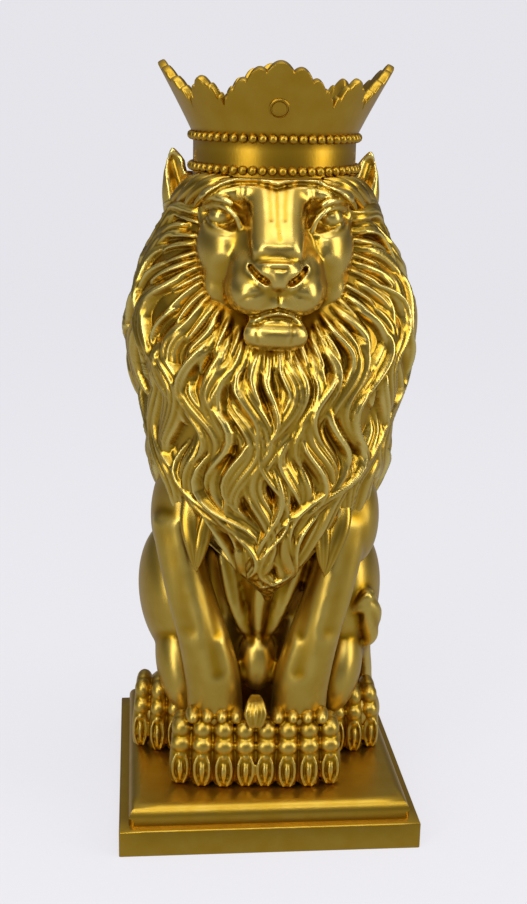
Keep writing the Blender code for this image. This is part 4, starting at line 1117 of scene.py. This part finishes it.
STUDIO_RADIUS = 2.4
STUDIO_SWEEP = 0.9
STUDIO_HEIGHT = 2.6
profile = bmesh.new()
outline = ((0.001, 0, 0), (STUDIO_RADIUS, 0, 0), (STUDIO_RADIUS, 0, STUDIO_HEIGHT))
corner = [profile.verts.new(at) for at in outline]
line = [profile.edges.new(pair) for pair in zip(corner, corner[1:])]
bmesh.ops.bevel(profile, geom=[corner[1]], offset=STUDIO_SWEEP, segments=12, affect="VERTICES", profile=0.5,
                material=-1)
spun(profile, [*profile.verts, *profile.edges], 64)
fill_holes(profile, 0.1)
bmesh.ops.recalc_face_normals(profile, faces=profile.faces)
room_middle = Vector((0, 0, 1.2))
turned = [face for face in profile.faces if face.normal.dot(room_middle - face.calc_center_median()) < 0]
bmesh.ops.reverse_faces(profile, faces=turned)
floor_mesh = bpy.data.meshes.new("studio_floor")
profile.to_mesh(floor_mesh)
profile.free()
for face in floor_mesh.polygons:
    face.use_smooth = True
paper = bpy.data.materials.new("pale matt paper")
paper.use_nodes = True
tree = paper.node_tree
place = add_node(tree, "ShaderNodeTexCoord").outputs["Object"]
fibre = add_node(tree, "ShaderNodeTexNoise", {"Scale": 300, "Detail": 2}, {"Vector": place})
tint = add_node(tree, "ShaderNodeMixRGB", {"Color1": linear("#707073"), "Color2": linear("#6d6d70")},
                {"Fac": fibre.outputs["Fac"]})
sheet = tree.nodes["Principled BSDF"]
tree.links.new(tint.outputs[0], sheet.inputs["Base Color"])
sheet.inputs["Roughness"].default_value = 0.9
sheet.inputs["Specular IOR Level"].default_value = 0.0
sheet.inputs["Emission Color"].default_value = linear("#e9e8ed")
sheet.inputs["Emission Strength"].default_value = 0.82
floor_mesh.materials.append(paper)
floor = add_object("studio_floor", floor_mesh)
floor.visible_glossy = False

LIGHTS = (
    ("soft_box_right", (0.86, -0.42, 0.5), (0.4, 0.9), 3.8, "#fffaf0"),
    ("soft_box_left", (-0.64, -0.70, 0.5), (0.36, 0.9), 3.4, "#fffcf6"),
    ("overhead", (0.05, -0.25, 1.15), (0.9, 0.5), 2.6, "#ffffff"),
    ("high_strip", (-0.1, -0.78, 0.9), (1.0, 0.16), 2.2, "#ffffff"),
)
for name, at, size, watts, colour in LIGHTS:
    lamp = bpy.data.lights.new(name, "AREA")
    lamp.shape, lamp.size, lamp.size_y = "RECTANGLE", *size
    lamp.energy, lamp.color = watts, linear(colour)[:3]
    turn = (Vector((0, 0, 0.16)) - Vector(at)).to_track_quat("-Z", "Y")
    add_object(name, lamp).matrix_world = Matrix.Translation(at) @ turn.to_matrix().to_4x4()

world = bpy.data.worlds.new("studio")
world.use_nodes = True
tree = world.node_tree
toward = add_node(tree, "ShaderNodeTexCoord").outputs["Generated"]
rise = add_node(tree, "ShaderNodeSeparateXYZ", None, {0: toward})
room = add_node(tree, "ShaderNodeMapRange", {"From Min": -1.0}, {"Value": rise.outputs["Z"]})
shade = add_node(tree, "ShaderNodeValToRGB", None, {"Fac": room.outputs[0]})
room_lights = ((0.42, 0.4), (0.5, 0.18), (0.58, 0.12), (0.72, 0.17))
set_ramp(shade, (0, (0.46, 0.46, 0.46, 1)), (0.95, (0.6, 0.6, 0.61, 1)),
         [(up, (light, light, light, 1)) for up, light in room_lights])
tree.links.new(shade.outputs["Color"], tree.nodes["Background"].inputs["Color"])
tree.nodes["Background"].inputs["Strength"].default_value = 1.0
bpy.context.scene.world = world

CAMERA_AT = (-0.0555, -0.5610, 0.3122)
CAMERA_YAW = 0.09747
CAMERA_DOWN = 0.26882
CAMERA_ROLL = 0.022
CAMERA_FOCAL_PIXELS = 1345.923
FRAME_HEIGHT_PIXELS = 904
lens = bpy.data.cameras.new("camera")
lens.sensor_fit = "VERTICAL"
lens.sensor_height = 24
lens.lens = CAMERA_FOCAL_PIXELS * 24 / FRAME_HEIGHT_PIXELS
lens.clip_start = 0.01
camera = add_object("camera", lens)
level = math.cos(CAMERA_DOWN)
ahead = Vector((math.sin(CAMERA_YAW) * level, math.cos(CAMERA_YAW) * level, -math.sin(CAMERA_DOWN)))
right = Vector((math.cos(CAMERA_YAW), -math.sin(CAMERA_YAW), 0))
above = right.cross(ahead)
turned_right = math.cos(CAMERA_ROLL) * right + math.sin(CAMERA_ROLL) * above
turned_up = math.cos(CAMERA_ROLL) * above - math.sin(CAMERA_ROLL) * right
turn = Matrix((turned_right, turned_up, -ahead)).transposed().to_4x4()
camera.matrix_world = Matrix.Translation(CAMERA_AT) @ turn
bpy.context.scene.camera = camera
bpy.context.scene.view_settings.view_transform = "Standard"
